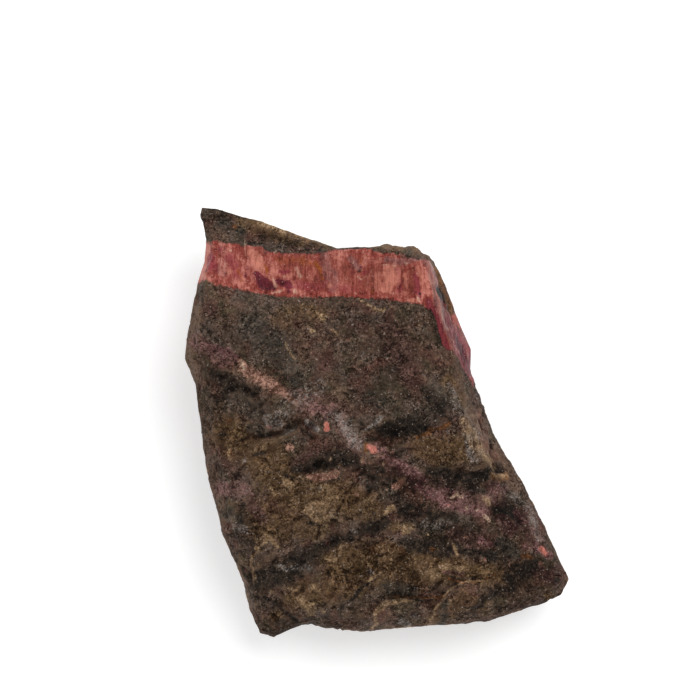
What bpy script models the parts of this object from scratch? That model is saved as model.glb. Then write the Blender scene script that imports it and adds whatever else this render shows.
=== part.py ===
"""A rough piece of rhodonite: one broken stone, with a pink vein across its north end.

The stone is built in millimetres and scaled to metres at the end. +X is east and +Y is north as the stone
lies, and +Z is up. Its widest line, the rim, runs all the way round it. Three sheets of faces close it: a
band round its sides, which goes through the rim, the broken top, and the underside, which ends in a small
flat land at z = 0 that the stone rests on. Each sheet is a grid whose points follow the rules below.
"""

import bmesh
import bpy
import numpy as np

MM = 0.001

# Driving dimensions, in millimetres.
CELLS_EAST = 38  # cells of the top and the underside from west to east
CELLS_NORTH = 42  # cells of the top and the underside from south to north
LOWER_LEVELS = 4  # rows of the band below the rim
UPPER_LEVELS = 5  # rows of the band above the rim
RIM_SHARPNESS = 0.22  # rounding of the rim, as a share of each slope beside it
FACET_BLEND = 0.3  # how softly two broken facets of the top meet
LAND_BLEND = 0.7  # how softly the underside leaves the flat land
CROWN = 25.5  # height of the main upper face

# The rim, side by side and anticlockwise from the north-east corner: x, y, z, then how far inside it the
# top's edge and the underside's edge lie.
NORTH = [
    (9.2, 25.8, 14.0, 2.2, 2.2),
    (7.8, 26.3, 15.5, 1.6, 2.4),
    (6.2, 27.5, 16.5, 1.4, 2.6),
    (4.1, 27.2, 17.5, 1.2, 2.6),
    (1.5, 27.5, 18.0, 1.2, 2.6),
    (-1.1, 27.0, 18.5, 1.1, 2.4),
    (-6.3, 26.8, 19.0, 1.0, 2.4),
    (-10.8, 28.3, 19.0, 1.1, 2.4),
    (-18.6, 31.2, 19.0, 1.2, 2.2),
    (-24.4, 32.9, 18.5, 0.9, 1.2),
    (-28.7, 33.9, 17.5, 0.4, 0.5),
]
WEST = [
    (-28.7, 33.9, 17.5, 0.4, 0.5),
    (-28.2, 31.4, 18.0, 0.8, 1.0),
    (-27.6, 28.3, 18.5, 1.1, 1.6),
    (-27.9, 24.5, 19.0, 1.5, 2.2),
    (-29.0, 20.9, 19.0, 1.6, 2.4),
    (-30.6, 12.2, 18.0, 2.2, 2.6),
    (-31.0, 8.9, 17.5, 2.6, 2.8),
    (-29.3, 5.0, 17.0, 2.2, 2.4),
    (-28.6, -0.2, 17.0, 2.2, 2.2),
    (-27.4, -9.1, 16.5, 2.2, 2.2),
    (-24.7, -19.3, 15.0, 2.0, 2.2),
    (-21.5, -26.7, 12.5, 1.8, 2.0),
    (-20.5, -30.9, 11.0, 1.4, 1.6),
    (-18.8, -34.6, 10.0, 1.2, 1.2),
]
SOUTH = [
    (-18.8, -34.6, 10.0, 1.2, 1.2),
    (-16.6, -35.2, 10.0, 1.2, 1.4),
    (-12.9, -33.6, 11.0, 1.3, 1.6),
    (-10.6, -33.0, 12.0, 1.3, 1.8),
    (-8.3, -33.8, 12.5, 1.5, 2.0),
    (-2.7, -34.6, 12.5, 1.6, 2.2),
    (5.2, -34.0, 12.5, 1.6, 2.2),
    (13.3, -33.4, 12.5, 1.6, 2.2),
    (19.4, -32.4, 12.0, 1.6, 2.2),
    (27.0, -29.7, 11.0, 1.7, 2.0),
    (29.6, -28.4, 10.5, 1.8, 1.8),
]
EAST = [
    (29.6, -28.4, 10.5, 1.8, 1.8),
    (31.0, -25.8, 10.0, 2.0, 2.0),
    (29.5, -22.8, 10.0, 2.6, 2.4),
    (27.0, -17.2, 10.5, 4.4, 2.8),
    (23.5, -10.1, 11.0, 5.6, 2.8),
    (19.5, -3.4, 11.0, 5.0, 2.6),
    (16.8, 3.2, 11.0, 4.0, 2.6),
    (15.2, 7.2, 11.0, 3.2, 2.6),
    (15.3, 11.7, 11.0, 4.2, 2.6),
    (13.1, 16.9, 11.5, 3.6, 2.6),
    (11.2, 22.0, 12.5, 2.6, 2.4),
    (9.2, 25.8, 14.0, 2.2, 2.2),
]

# The vein's two walls where they cut the top, as y against x, and the top's slope north of each.
VEIN_WALL_X = (-29.0, -20.4, -12.3, -4.3, 3.7, 9.6)
UPPER_WALL_Y = (20.6, 18.9, 17.8, 17.6, 17.3, 16.1)
LOWER_WALL_Y = (28.2, 26.8, 25.7, 26.0, 26.2, 24.5)
VEIN_SLOPE = -0.42
FOOTWALL_SLOPE = -0.62

# Flat facets of the top: height at a point, the point, and the slopes eastwards and northwards.
FACETS = [
    (CROWN, (0.0, 5.0), 0.03, -0.02),  # crown, south of the vein
    (24.3, (-16.0, 1.0), 0.11, 0.145),  # west flank
    (22.6, (0.0, -15.0), 0.02, 0.30),  # south flank
    (20.3, (16.0, -15.0), -0.45, 0.10),  # nose, at the south-east corner
    (16.8, (-20.4, -27.0), 0.46, 0.74),  # small facet at the south-west corner
    (24.2, (10.0, 6.0), -0.55, -0.10),  # shoulder above the east side
]

# Flat facets of the underside, in the same form. The land is where all of them lie under z = 0.
UNDER_FACETS = [
    (0.0, (-12.5, 0.0), -0.68, 0.05),  # west
    (0.0, (0.0, -15.0), 0.03, -0.40),  # south
    (0.0, (-8.0, -10.5), -0.26, -0.22),  # south-west
    (0.0, (0.0, 11.3), 0.17, 0.80),  # north
    (0.0, (12.0, 0.0), 1.05, 0.44),  # east
    (0.0, (6.0, 9.0), 0.30, 0.42),  # north-east
]

# Steps in the top. Each is a line that the surface drops along on its right-hand side: how far the drop
# takes to fade out beyond it, then points x, y and the drop there.
STEPS = [
    (6.0, [(-28.5, 6.5, 0.3), (-22.5, 4.0, 1.1), (-19.5, 1.4, 1.3), (-15.5, -1.4, 0.9), (-11.0, -4.4, 0.2)]),
    (8.0, [(-3.0, -5.8, 0.0), (-0.1, -4.4, 1.6), (3.6, -2.6, 2.4), (7.3, -1.4, 2.3), (9.5, -0.4, 1.6),
           (13.0, 0.8, 0.0)]),
    (8.0, [(3.0, -11.6, 0.0), (6.2, -11.1, 1.6), (10.0, -9.7, 2.4), (14.8, -9.7, 2.8), (19.1, -9.1, 2.4),
           (21.5, -8.0, 1.0)]),
    (5.0, [(13.0, -16.5, 0.0), (16.5, -16.0, 1.2), (18.1, -14.9, 2.0), (20.5, -13.8, 2.2),
           (22.9, -12.8, 1.2), (24.5, -12.0, 0.0)]),
    (7.0, [(-16.0, -11.4, 0.2), (-13.4, -10.1, 1.1), (-10.7, -8.8, 1.7), (-5.5, -7.7, 1.8),
           (-0.4, -9.9, 1.4), (3.5, -12.5, 0.6), (6.0, -14.0, 0.0)]),
    (7.0, [(-21.0, -27.4, 0.8), (-12.3, -23.0, 1.4), (-5.1, -19.9, 1.5), (2.0, -17.6, 1.2),
           (6.0, -16.8, 0.0)]),
    (5.0, [(2.0, -27.2, 0.0), (9.0, -25.6, 0.8), (17.0, -22.4, 1.2), (24.0, -20.6, 0.8), (27.0, -20.0, 0.0)]),
    (4.0, [(-20.3, -27.8, 0.6), (-17.1, -29.6, 1.0), (-13.9, -31.9, 0.8), (-10.7, -34.0, 0.2)]),
]
STEP_WIDTH = 1.6

# Raised patches of the top: how far each stands up, then its outline.
PATCHES = [
    (0.7, [(-0.7, -32.1), (1.1, -30.6), (4.1, -30.2), (7.6, -30.8), (8.7, -32.1), (8.4, -35.0),
           (-0.5, -35.0)]),
    (0.8, [(7.9, -34.0), (9.5, -30.9), (11.1, -28.8), (13.7, -27.2), (17.5, -27.3), (19.3, -28.5),
           (18.0, -31.6), (14.8, -34.3)]),
    (0.5, [(-11.2, -16.4), (-10.2, -15.1), (-7.5, -15.6), (-5.5, -16.7), (-6.2, -18.5), (-10.4, -18.4)]),
    (0.5, [(-19.5, -21.2), (-17.6, -20.4), (-15.5, -21.2), (-15.8, -22.8), (-17.6, -24.3), (-19.2, -23.1)]),
    (0.7, [(-21.5, 27.0), (-17.8, 27.0), (-17.8, 22.4), (-21.5, 22.4)]),  # block of the vein
    (0.6, [(-1.9, 23.4), (3.0, 23.4), (3.0, 17.0), (-1.9, 17.0)]),  # block of the vein
    (-0.7, [(3.2, 24.0), (5.6, 24.0), (5.6, 16.8), (3.2, 16.8)]),  # gap beside it
    (0.9, [(0.9, 26.0), (1.8, 27.9), (6.4, 27.6), (7.2, 25.4), (4.0, 24.8)]),  # knob of wall rock
    (0.7, [(-4.6, 25.9), (-4.0, 27.6), (-0.9, 27.6), (-0.6, 25.8)]),  # knob of wall rock
]
PATCH_EDGE = 1.2  # how wide each patch's edge is

# Rounded hollows of the top: x, y, half its width, half its length, depth.
HOLLOWS = [
    (-16.4, 20.2, 2.8, 1.7, 1.6),  # dark pit in the vein
    (4.5, -4.3, 3.6, 1.4, 0.7),
    (20.2, -16.0, 2.6, 1.5, 0.9),
]

# Broken chips: the size of each kind, how far its chips stand in or out, and how much they tilt.
CHIPS = [(9.0, 0.55, 1.00), (4.1, 0.24, 0.42)]
CHIP_SEED = 11
CHIP_EDGE = 0.5  # half the width of the change from one chip to the next
GRAIN_ANGLE = np.radians(25.0)  # direction of the rock's grain, north of east
GRAIN_LENGTH = 1.9  # how much longer the chips are along the grain
SEAM = ((-26.0, 9.8), (29.5, -24.5))  # the line across the top that the smooth main face ends at
MAIN_FACE_ROUGHNESS = 0.3  # how far chips stand out on the main face, as a share of elsewhere


def scrambled(cells, seed):
    """Random values from 0 to 1 for whole-number cells: the same for the same cell, seed and place."""
    mixed = np.full(cells.shape[:-1], seed * 374761393, np.int64)
    for axis, prime in enumerate((73856093, 19349663, 83492791)):
        mixed = mixed ^ (cells[..., axis] * prime)
    mixed = ((mixed ^ (mixed >> 13)) * 1274126177) & 0x7FFFFFFF
    mixed = ((mixed ^ (mixed >> 15)) * 668265263) & 0x7FFFFFFF
    return ((mixed ^ (mixed >> 16)) & 0xFFFF) / 65535.0


def chip_layer(points, size, offset, tilt, seed):
    """One size of chips: each point takes the offset and tilt of the chip whose centre is nearest."""
    turned = np.array([[np.cos(GRAIN_ANGLE), np.sin(GRAIN_ANGLE), 0.0],
                       [-np.sin(GRAIN_ANGLE), np.cos(GRAIN_ANGLE), 0.0],
                       [0.0, 0.0, 1.0]])
    scaled = (points @ turned.T) / (size * np.array([GRAIN_LENGTH, 1.0, 1.0]))
    cell = np.floor(scaled).astype(np.int64)
    near = cell[:, None] + np.array(list(np.ndindex(3, 3, 3))) - 1
    draws = [scrambled(near, seed + k) for k in range(7)]
    away = scaled[:, None] - near - np.stack(draws[:3], axis=-1)
    slopes = np.stack(draws[3:6], axis=-1) * 2 - 1
    heights = offset * (2 * draws[6] - 1) + tilt * (away * slopes).sum(axis=-1)
    distance = (away * away).sum(axis=-1)
    share = np.exp((distance.min(axis=1, keepdims=True) - distance) * size / CHIP_EDGE)
    return (share * heights).sum(axis=1) / share.sum(axis=1)


def chips(points):
    """How far the broken surface stands in or out at each point."""
    layers = enumerate(CHIPS)
    return sum(chip_layer(points, *chip, CHIP_SEED + 10 * layer) for layer, chip in layers)


def smooth_lowest(heights, blend):
    """The lowest of several heights, with a rounded change from one to the next."""
    stack = np.stack(heights)
    floor = stack.min(axis=0)
    return floor - blend * np.log(np.exp((floor - stack) / blend).sum(axis=0))


def smooth_step(value):
    """0 below 0, 1 above 1, and an eased change between."""
    share = np.clip(value, 0.0, 1.0)
    return share * share * (3 - 2 * share)


def facet_heights(facets, x, y):
    """The height of each flat facet over x, y."""
    return [z + (x - at[0]) * slope_x + (y - at[1]) * slope_y for z, at, slope_x, slope_y in facets]


def along_side(points, shares):
    """Rows of a rim side at these shares of its length."""
    rows = np.array(points, float)
    lengths = np.hypot(*np.diff(rows[:, :2], axis=0).T)
    reached = np.concatenate([[0.0], np.cumsum(lengths)]) / lengths.sum()
    return np.stack([np.interp(shares, reached, column) for column in rows.T], axis=1)


def nearest_on_line(x, y, line):
    """For each x, y: the distance to the nearest point of a line of rows, that point's other columns, and
    which side of the line it lies on, 1 on the right-hand side."""
    best = np.full(x.shape, np.inf)
    values = np.zeros((*x.shape, line.shape[1] - 2))
    side = np.ones(x.shape)
    for start, end in zip(line[:-1], line[1:]):
        along = end[:2] - start[:2]
        share = ((x - start[0]) * along[0] + (y - start[1]) * along[1]) / (along @ along)
        share = np.clip(share, 0.0, 1.0)
        off_x = x - start[0] - share * along[0]
        off_y = y - start[1] - share * along[1]
        distance = np.hypot(off_x, off_y)
        nearer = distance < best
        best = np.where(nearer, distance, best)
        side = np.where(nearer, np.sign(off_x * along[1] - off_y * along[0] + 1e-12), side)
        here = start[2:] + share[..., None] * (end[2:] - start[2:])
        values = np.where(nearer[..., None], here, values)
    return best, values, side


def step_drop(x, y, reach, points):
    """How far a step lowers the surface: all at once along its line, then less and less beyond it."""
    distance, values, side = nearest_on_line(x, y, np.array(points, float))
    signed = distance * side
    edge = smooth_step(signed / STEP_WIDTH + 0.5)
    return values[..., 0] * edge * np.exp(-np.maximum(signed, 0.0) / reach)


def patch_rise(x, y, height, outline):
    """How far a raised patch lifts the surface: its full height inside its outline, and none outside."""
    closed = np.array([*outline, outline[0]], float)
    distance, _, _ = nearest_on_line(x, y, closed)
    inside = np.zeros(x.shape, bool)
    for (x0, y0), (x1, y1) in zip(closed[:-1], closed[1:]):
        crosses = (y0 > y) != (y1 > y)
        reach = x0 + (y - y0) * (x1 - x0) / (y1 - y0 if y1 != y0 else 1.0)
        inside ^= crosses & (x < reach)
    signed = np.where(inside, distance, -distance)
    return height * smooth_step(signed / PATCH_EDGE + 0.5)


def top_height(x, y):
    """Height of the broken top."""
    upper_wall = np.interp(x, VEIN_WALL_X, UPPER_WALL_Y)
    lower_wall = np.interp(x, VEIN_WALL_X, LOWER_WALL_Y)
    heights = facet_heights(FACETS, x, y)
    vein = heights[0] + VEIN_SLOPE * (y - upper_wall)
    footwall = heights[0] + VEIN_SLOPE * (lower_wall - upper_wall) + FOOTWALL_SLOPE * (y - lower_wall)
    top = smooth_lowest([*heights, vein, footwall], FACET_BLEND)
    top = top - sum(step_drop(x, y, *step) for step in STEPS)
    top = top + sum(patch_rise(x, y, *patch) for patch in PATCHES)
    for middle_x, middle_y, half_x, half_y, depth in HOLLOWS:
        away = ((x - middle_x) / half_x) ** 2 + ((y - middle_y) / half_y) ** 2
        top = top - depth * smooth_step(1.3 - away)
    return top


def under_height(x, y):
    """Height of the underside: none over the land, then rising along the highest facet."""
    highest = -smooth_lowest([-height for height in facet_heights(UNDER_FACETS, x, y)], FACET_BLEND)
    points = np.stack([x.ravel(), y.ravel(), np.zeros(x.size)], axis=1)
    rough = np.maximum(highest + chips(points).reshape(x.shape), 0.0)
    return rough * rough / (rough + LAND_BLEND)


def rim_loop():
    """The rim as one closed loop of rows, anticlockwise from the south-west corner, spaced as the grids."""
    columns = np.linspace(0.0, 1.0, CELLS_EAST + 1)
    rows = np.linspace(0.0, 1.0, CELLS_NORTH + 1)
    sides = ((SOUTH, columns), (EAST, rows), (NORTH, columns), (WEST, rows))
    return np.concatenate([along_side(points, shares)[:-1] for points, shares in sides])


def inner_loop(rim, inset):
    """The rim's points moved inwards, each square to the rim by its own inset."""
    along = np.roll(rim[:, :2], -1, axis=0) - np.roll(rim[:, :2], 1, axis=0)
    inwards = np.stack([-along[:, 1], along[:, 0]], axis=1)
    return rim[:, :2] + inwards / np.hypot(*along.T)[:, None] * inset[:, None]


def inside_loop(loop):
    """Points x, y of a grid, rows from the south, whose border is a loop: each line bends with its ends."""
    east, north = CELLS_EAST, CELLS_NORTH
    south_side = loop[: east + 1]
    east_side = loop[east : east + north + 1]
    north_side = loop[east + north : 2 * east + north + 1][::-1]
    west_side = np.concatenate([loop[2 * east + north :], loop[:1]])[::-1]
    s, t = np.meshgrid(np.linspace(0.0, 1.0, east + 1), np.linspace(0.0, 1.0, north + 1))
    s, t = s[..., None], t[..., None]
    across = (1 - t) * south_side[None] + t * north_side[None]
    up = (1 - s) * west_side[:, None] + s * east_side[:, None]
    south_pair = (1 - s) * south_side[0] + s * south_side[-1]
    north_pair = (1 - s) * north_side[0] + s * north_side[-1]
    return across + up - (1 - t) * south_pair - t * north_pair


def rounded_slope(share):
    """0 to 1, leaving 0 squarely and then straight, so that two slopes meet in a rounded edge."""
    whole = np.hypot(1.0, RIM_SHARPNESS) - RIM_SHARPNESS
    return (np.hypot(share, RIM_SHARPNESS) - RIM_SHARPNESS) / whole


def band(rim, under_edge, top_edge):
    """Points of the band, one row for each level, from the underside's edge through the rim to the top's."""
    levels = []
    for share in np.linspace(1.0, 0.0, LOWER_LEVELS + 1):
        plan = rim[:, :2] + (under_edge[:, :2] - rim[:, :2]) * rounded_slope(share)
        levels.append(np.column_stack([plan, rim[:, 2] + (under_edge[:, 2] - rim[:, 2]) * share]))
    for share in np.linspace(0.0, 1.0, UPPER_LEVELS + 1)[1:]:
        plan = rim[:, :2] + (top_edge[:, :2] - rim[:, :2]) * rounded_slope(share)
        levels.append(np.column_stack([plan, rim[:, 2] + (top_edge[:, 2] - rim[:, 2]) * share]))
    points = np.stack(levels)
    return np.concatenate([points, points[:, :1]], axis=1)


def sheet(name, points, facing_up=True):
    """A grid of faces whose vertex in each row and column lies at the point there."""
    rows, columns = points.shape[0] - 1, points.shape[1] - 1
    build = bmesh.new()
    bmesh.ops.create_grid(build, x_segments=columns, y_segments=rows, size=1.0)
    if not facing_up:
        bmesh.ops.reverse_faces(build, faces=build.faces)
    mesh = bpy.data.meshes.new(name)
    build.to_mesh(mesh)
    build.free()
    flat = np.empty(len(mesh.vertices) * 3)
    mesh.vertices.foreach_get("co", flat)
    column = np.rint((flat[0::3] + 1) / 2 * columns).astype(int)
    row = np.rint((flat[1::3] + 1) / 2 * rows).astype(int)
    mesh.vertices.foreach_set("co", points[row, column].ravel())
    return mesh


def main_face(points, normals):
    """1 on the smooth main face of the top, which is north of the seam and faces up, and 0 elsewhere."""
    (west_x, west_y), (east_x, east_y) = SEAM
    seam_y = west_y + (points[:, 0] - west_x) * (east_y - west_y) / (east_x - west_x)
    return smooth_step((points[:, 1] - seam_y) / 5.0) * smooth_step((normals[:, 2] - 0.6) / 0.25)


def roughened(points, normals, rim):
    """The points moved in or out as the chips are: less near the rim and on the main face, and not at all
    on the land."""
    closed = np.concatenate([rim, rim[:1]])
    away, values, _ = nearest_on_line(points[:, 0], points[:, 1], closed)
    from_rim = np.hypot(away, points[:, 2] - values[:, 0])
    amount = smooth_step(from_rim / 4.0) * smooth_step(points[:, 2] / 3.0)
    amount = amount * (1.0 + (MAIN_FACE_ROUGHNESS - 1.0) * main_face(points, normals))
    moved = points + normals * (amount * chips(points))[:, None]
    moved[:, 2] = np.maximum(moved[:, 2], 0.0)
    return moved


def stone():
    """The whole stone, centred over its own box, as one object in metres."""
    rim = rim_loop()
    under_edge = inner_loop(rim, rim[:, 4])
    under_edge = np.column_stack([under_edge, under_height(*under_edge.T)])
    top_edge = inner_loop(rim, rim[:, 3])
    top_edge = np.column_stack([top_edge, top_height(*top_edge.T)])
    top = inside_loop(top_edge[:, :2])
    top = np.dstack([top, top_height(top[..., 0], top[..., 1])])
    under = inside_loop(under_edge[:, :2])
    under = np.dstack([under, under_height(under[..., 0], under[..., 1])])
    build = bmesh.new()
    sides = band(rim, under_edge, top_edge)
    for mesh in (sheet("top", top), sheet("underside", under, False), sheet("sides", sides)):
        build.from_mesh(mesh)
        bpy.data.meshes.remove(mesh)
    bmesh.ops.remove_doubles(build, verts=build.verts, dist=0.001)
    build.normal_update()
    points = np.array([vertex.co for vertex in build.verts])
    normals = np.array([vertex.normal for vertex in build.verts])
    points = roughened(points, normals, rim)
    middle = (points.min(axis=0) + points.max(axis=0)) / 2
    points = (points - [middle[0], middle[1], 0.0]) * MM
    mesh = bpy.data.meshes.new("rhodonite_stone")
    build.to_mesh(mesh)
    build.free()
    mesh.vertices.foreach_set("co", points.ravel())
    return bpy.data.objects.new("rhodonite_stone", mesh)


def stone_material():
    """Dull brown wall rock, the colour of most of the stone."""
    material = bpy.data.materials.new("brown_wall_rock")
    material.use_nodes = True
    shader = material.node_tree.nodes["Principled BSDF"]
    shader.inputs["Base Color"].default_value = (0.085, 0.056, 0.040, 1.0)
    shader.inputs["Roughness"].default_value = 0.75
    shader.inputs["Metallic"].default_value = 0.0
    return material


def main():
    for thing in list(bpy.data.objects):
        bpy.data.objects.remove(thing)
    piece = stone()
    piece.data.materials.append(stone_material())
    bpy.context.scene.collection.objects.link(piece)
    piece.data.set_sharp_from_angle(angle=np.radians(35.0))


main()
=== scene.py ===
"""Looks of a rough piece of rhodonite: brown wall rock with a fibrous pink vein across its north end.

The stone is one closed surface. It is worked out in millimetres over the plan that the frame's solid has:
x to the east, y to the north, z up from what it rests on. It becomes metres only when it goes into a mesh.
"""

import logging
from collections.abc import Callable
from dataclasses import dataclass
from enum import Enum

import bpy
import numpy as np
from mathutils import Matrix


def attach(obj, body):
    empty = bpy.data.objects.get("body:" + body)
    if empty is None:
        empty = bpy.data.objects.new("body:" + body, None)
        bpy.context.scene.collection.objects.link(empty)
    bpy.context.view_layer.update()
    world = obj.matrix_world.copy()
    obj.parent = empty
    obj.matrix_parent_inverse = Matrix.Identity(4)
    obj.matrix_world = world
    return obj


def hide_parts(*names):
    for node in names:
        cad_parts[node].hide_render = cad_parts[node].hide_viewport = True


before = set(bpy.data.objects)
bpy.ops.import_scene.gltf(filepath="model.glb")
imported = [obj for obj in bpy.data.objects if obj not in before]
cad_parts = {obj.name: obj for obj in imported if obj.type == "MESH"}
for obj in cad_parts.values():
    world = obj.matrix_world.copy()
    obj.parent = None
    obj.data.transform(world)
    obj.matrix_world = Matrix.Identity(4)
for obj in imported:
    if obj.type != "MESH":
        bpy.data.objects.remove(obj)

log = logging.getLogger("rhodonite")
Array = np.ndarray
Rows = tuple[tuple[float, ...], ...]
Triple = tuple[float, float, float]  # a place, a direction or a stretch
Colour = tuple[float, float, float]  # red, green and blue from 0 to 255, as they look

MM = 0.001
NODE = "rhodonite_stone"
BODY = "root"

# What mixes a cell's whole numbers and a seed into one random value.
SEED_PRIME = 374761393
CELL_PRIMES = (73856093, 19349663, 83492791)
MIXERS = ((13, 1274126177), (15, 668265263))
LAST_SHIFT = 16

# How each finer noise in a sum is scaled and moved against the one before, so that their grids don't meet.
OCTAVE_SCALE = 2.03
OCTAVE_SHIFT = 0.37

BATCH = 12000  # points whose chips are worked out at once, to spare memory
DOT_LENGTH = 0.01  # a round mark is a line of this length, in millimetres


# ---- noise


def scrambled(cells: Array, seed: int) -> Array:
    """Random values from 0 to 1 for whole-number cells.

    The three coordinates and the seed are multiplied by large primes and mixed by shifts, so the same cell
    and seed always give the same value.

    Args:
        cells: Whole numbers, with the three coordinates on the last axis.
        seed: Which set of random values.

    Returns:
        One value for each cell.
    """
    mixed = np.full(cells.shape[:-1], seed * SEED_PRIME, np.int64)
    for axis, prime in enumerate(CELL_PRIMES):
        mixed = mixed ^ (cells[..., axis] * prime)
    for shift, prime in MIXERS:
        mixed = ((mixed ^ (mixed >> shift)) * prime) & 0x7FFFFFFF
    return ((mixed ^ (mixed >> LAST_SHIFT)) & 0xFFFF) / 0xFFFF


def turn_about(axis: Triple, degrees: float) -> Array:
    """The matrix that turns points about an axis: Rodrigues' formula, I + sin K + (1 - cos) K K.

    Args:
        axis: Direction of the axis.
        degrees: How far it turns them, anticlockwise for who looks against the axis.

    Returns:
        A 3 by 3 matrix.
    """
    x, y, z = np.array(axis) / np.linalg.norm(axis)
    cross = np.array([[0.0, -z, y], [z, 0.0, -x], [-y, x, 0.0]])
    angle = np.radians(degrees)
    return np.eye(3) + np.sin(angle) * cross + (1 - np.cos(angle)) * cross @ cross


OCTAVE_TURN = turn_about((1.0, 1.3, 0.8), 37.0)


def value_noise(points: Array, seed: int) -> Array:
    """Smooth noise: random values at the corners of unit cubes, blended on each axis by 6s^5 - 15s^4 + 10s^3.

    Args:
        points: Points, one a row.
        seed: Which set of random values.

    Returns:
        One value from -1 to 1 for each point.
    """
    cell = np.floor(points).astype(np.int64)
    part = points - cell
    ease = part * part * part * (part * (part * 6 - 15) + 10)
    total = np.zeros(len(points))
    for corner in np.ndindex(2, 2, 2):
        weight = np.where(corner, ease, 1 - ease).prod(axis=1)
        total += weight * scrambled(cell + np.array(corner), seed)
    return 2 * total - 1


def fractal(points: Array, wavelength: float, octaves: int, seed: int, gain: float = 0.5) -> Array:
    """A sum of value noises, each turned, half as wide and `gain` times as strong as the one before.

    Args:
        points: Rows of x, y and z, in millimetres.
        wavelength: Width of the largest noise, in millimetres.
        octaves: How many noises are summed.
        seed: Which set of random values.
        gain: Strength of each noise against the one before.

    Returns:
        One value from about -1 to 1 for each point.
    """
    total = np.zeros(len(points))
    strength, whole = 1.0, 0.0
    place = points / wavelength
    for octave in range(octaves):
        total += strength * value_noise(place, seed + octave)
        whole += strength
        strength *= gain
        place = OCTAVE_SCALE * place @ OCTAVE_TURN.T + OCTAVE_SHIFT
    return total / whole


def smooth_step(value: Array) -> Array:
    """0 below 0, 1 above 1, and the cubic 3s^2 - 2s^3 between."""
    share = np.clip(value, 0.0, 1.0)
    return share * share * (3 - 2 * share)


def smooth_lowest(heights: list[Array], blend: float) -> Array:
    """The lowest of several heights, as -b log(sum of exp(-h / b)), which rounds the change between two."""
    floor = np.min(heights, axis=0)
    return floor - blend * np.log(np.exp((floor - np.stack(heights)) / blend).sum(axis=0))


@dataclass(frozen=True)
class ChipLayer:
    """Broken chips of one size: flat cells, each with its own offset and tilt, and steps between them.

    Space is cut into the cells nearest to jittered centres. A cell's chip stands out by its offset plus its
    tilt times the way from its centre, and exp(-squared distance * size / edge) blends it into the next.
    """

    size: float
    offset: float
    tilt: float
    edge: float
    seed: int
    stretch: Triple = (1.9, 1.0, 1.0)
    grain_degrees: float = 25.0

    def height(self, points: Array) -> Array:
        """How far the chips stand in or out at each point, in millimetres."""
        parts = np.array_split(points, max(1, len(points) // BATCH))
        return np.concatenate([self._height(part) for part in parts])

    def _height(self, points: Array) -> Array:
        """The same for a few points at once.

        Args:
            points: Rows of x, y and z, in millimetres.

        Returns:
            One height for each point.
        """
        turned = turn_about((0.0, 0.0, 1.0), -self.grain_degrees)
        scaled = (points @ turned.T) / (self.size * np.array(self.stretch))
        cell = np.floor(scaled).astype(np.int64)
        near = cell[:, None] + np.array(list(np.ndindex(3, 3, 3))) - 1
        draws = [scrambled(near, self.seed + k) for k in range(7)]
        away = scaled[:, None] - near - np.stack(draws[:3], axis=-1)
        slopes = np.stack(draws[3:6], axis=-1) * 2 - 1
        heights = self.offset * (2 * draws[6] - 1) + self.tilt * (away * slopes).sum(axis=-1)
        distance = (away * away).sum(axis=-1)
        share = np.exp((distance.min(axis=1, keepdims=True) - distance) * self.size / self.edge)
        return (share * heights).sum(axis=1) / share.sum(axis=1)


# ---- lines in the plan


def nearest_on_line(x: Array, y: Array, line: Array) -> tuple[Array, Array, Array]:
    """Where each point lies against a line of rows.

    Args:
        x: How far east.
        y: How far north.
        line: Rows of x, y and any other values.

    Returns:
        The distance to the line's nearest point, that point's other values, and the side of the line that
        each point lies on: 1 on the right-hand side, -1 on the left.
    """
    best = np.full(x.shape, np.inf)
    values = np.zeros((*x.shape, line.shape[1] - 2))
    side = np.ones(x.shape)
    for start, end in zip(line[:-1], line[1:]):
        along = end[:2] - start[:2]
        share = ((x - start[0]) * along[0] + (y - start[1]) * along[1]) / (along @ along)
        share = np.clip(share, 0.0, 1.0)
        off_x = x - start[0] - share * along[0]
        off_y = y - start[1] - share * along[1]
        distance = np.hypot(off_x, off_y)
        nearer = distance < best
        best = np.where(nearer, distance, best)
        side = np.where(nearer, np.sign(off_x * along[1] - off_y * along[0] + 1e-12), side)
        here = start[2:] + share[..., None] * (end[2:] - start[2:])
        values = np.where(nearer[..., None], here, values)
    return best, values, side


def signed_inside(x: Array, y: Array, outline: Rows) -> Array:
    """Distance to a closed outline, above 0 inside, where a ray eastwards crosses it an odd number of times.

    Args:
        x: How far east.
        y: How far north.
        outline: Corners as rows of x and y.

    Returns:
        Signed distances of the same shape as x.
    """
    closed = np.array([*outline, outline[0]], float)
    distance, _, _ = nearest_on_line(x, y, closed)
    inside = np.zeros(x.shape, bool)
    for (x0, y0), (x1, y1) in zip(closed[:-1], closed[1:]):
        crosses = (y0 > y) != (y1 > y)
        reach = x0 + (y - y0) * (x1 - x0) / (y1 - y0 if y1 != y0 else 1.0)
        inside ^= crosses & (x < reach)
    return np.where(inside, distance, -distance)


# ---- shape


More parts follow.
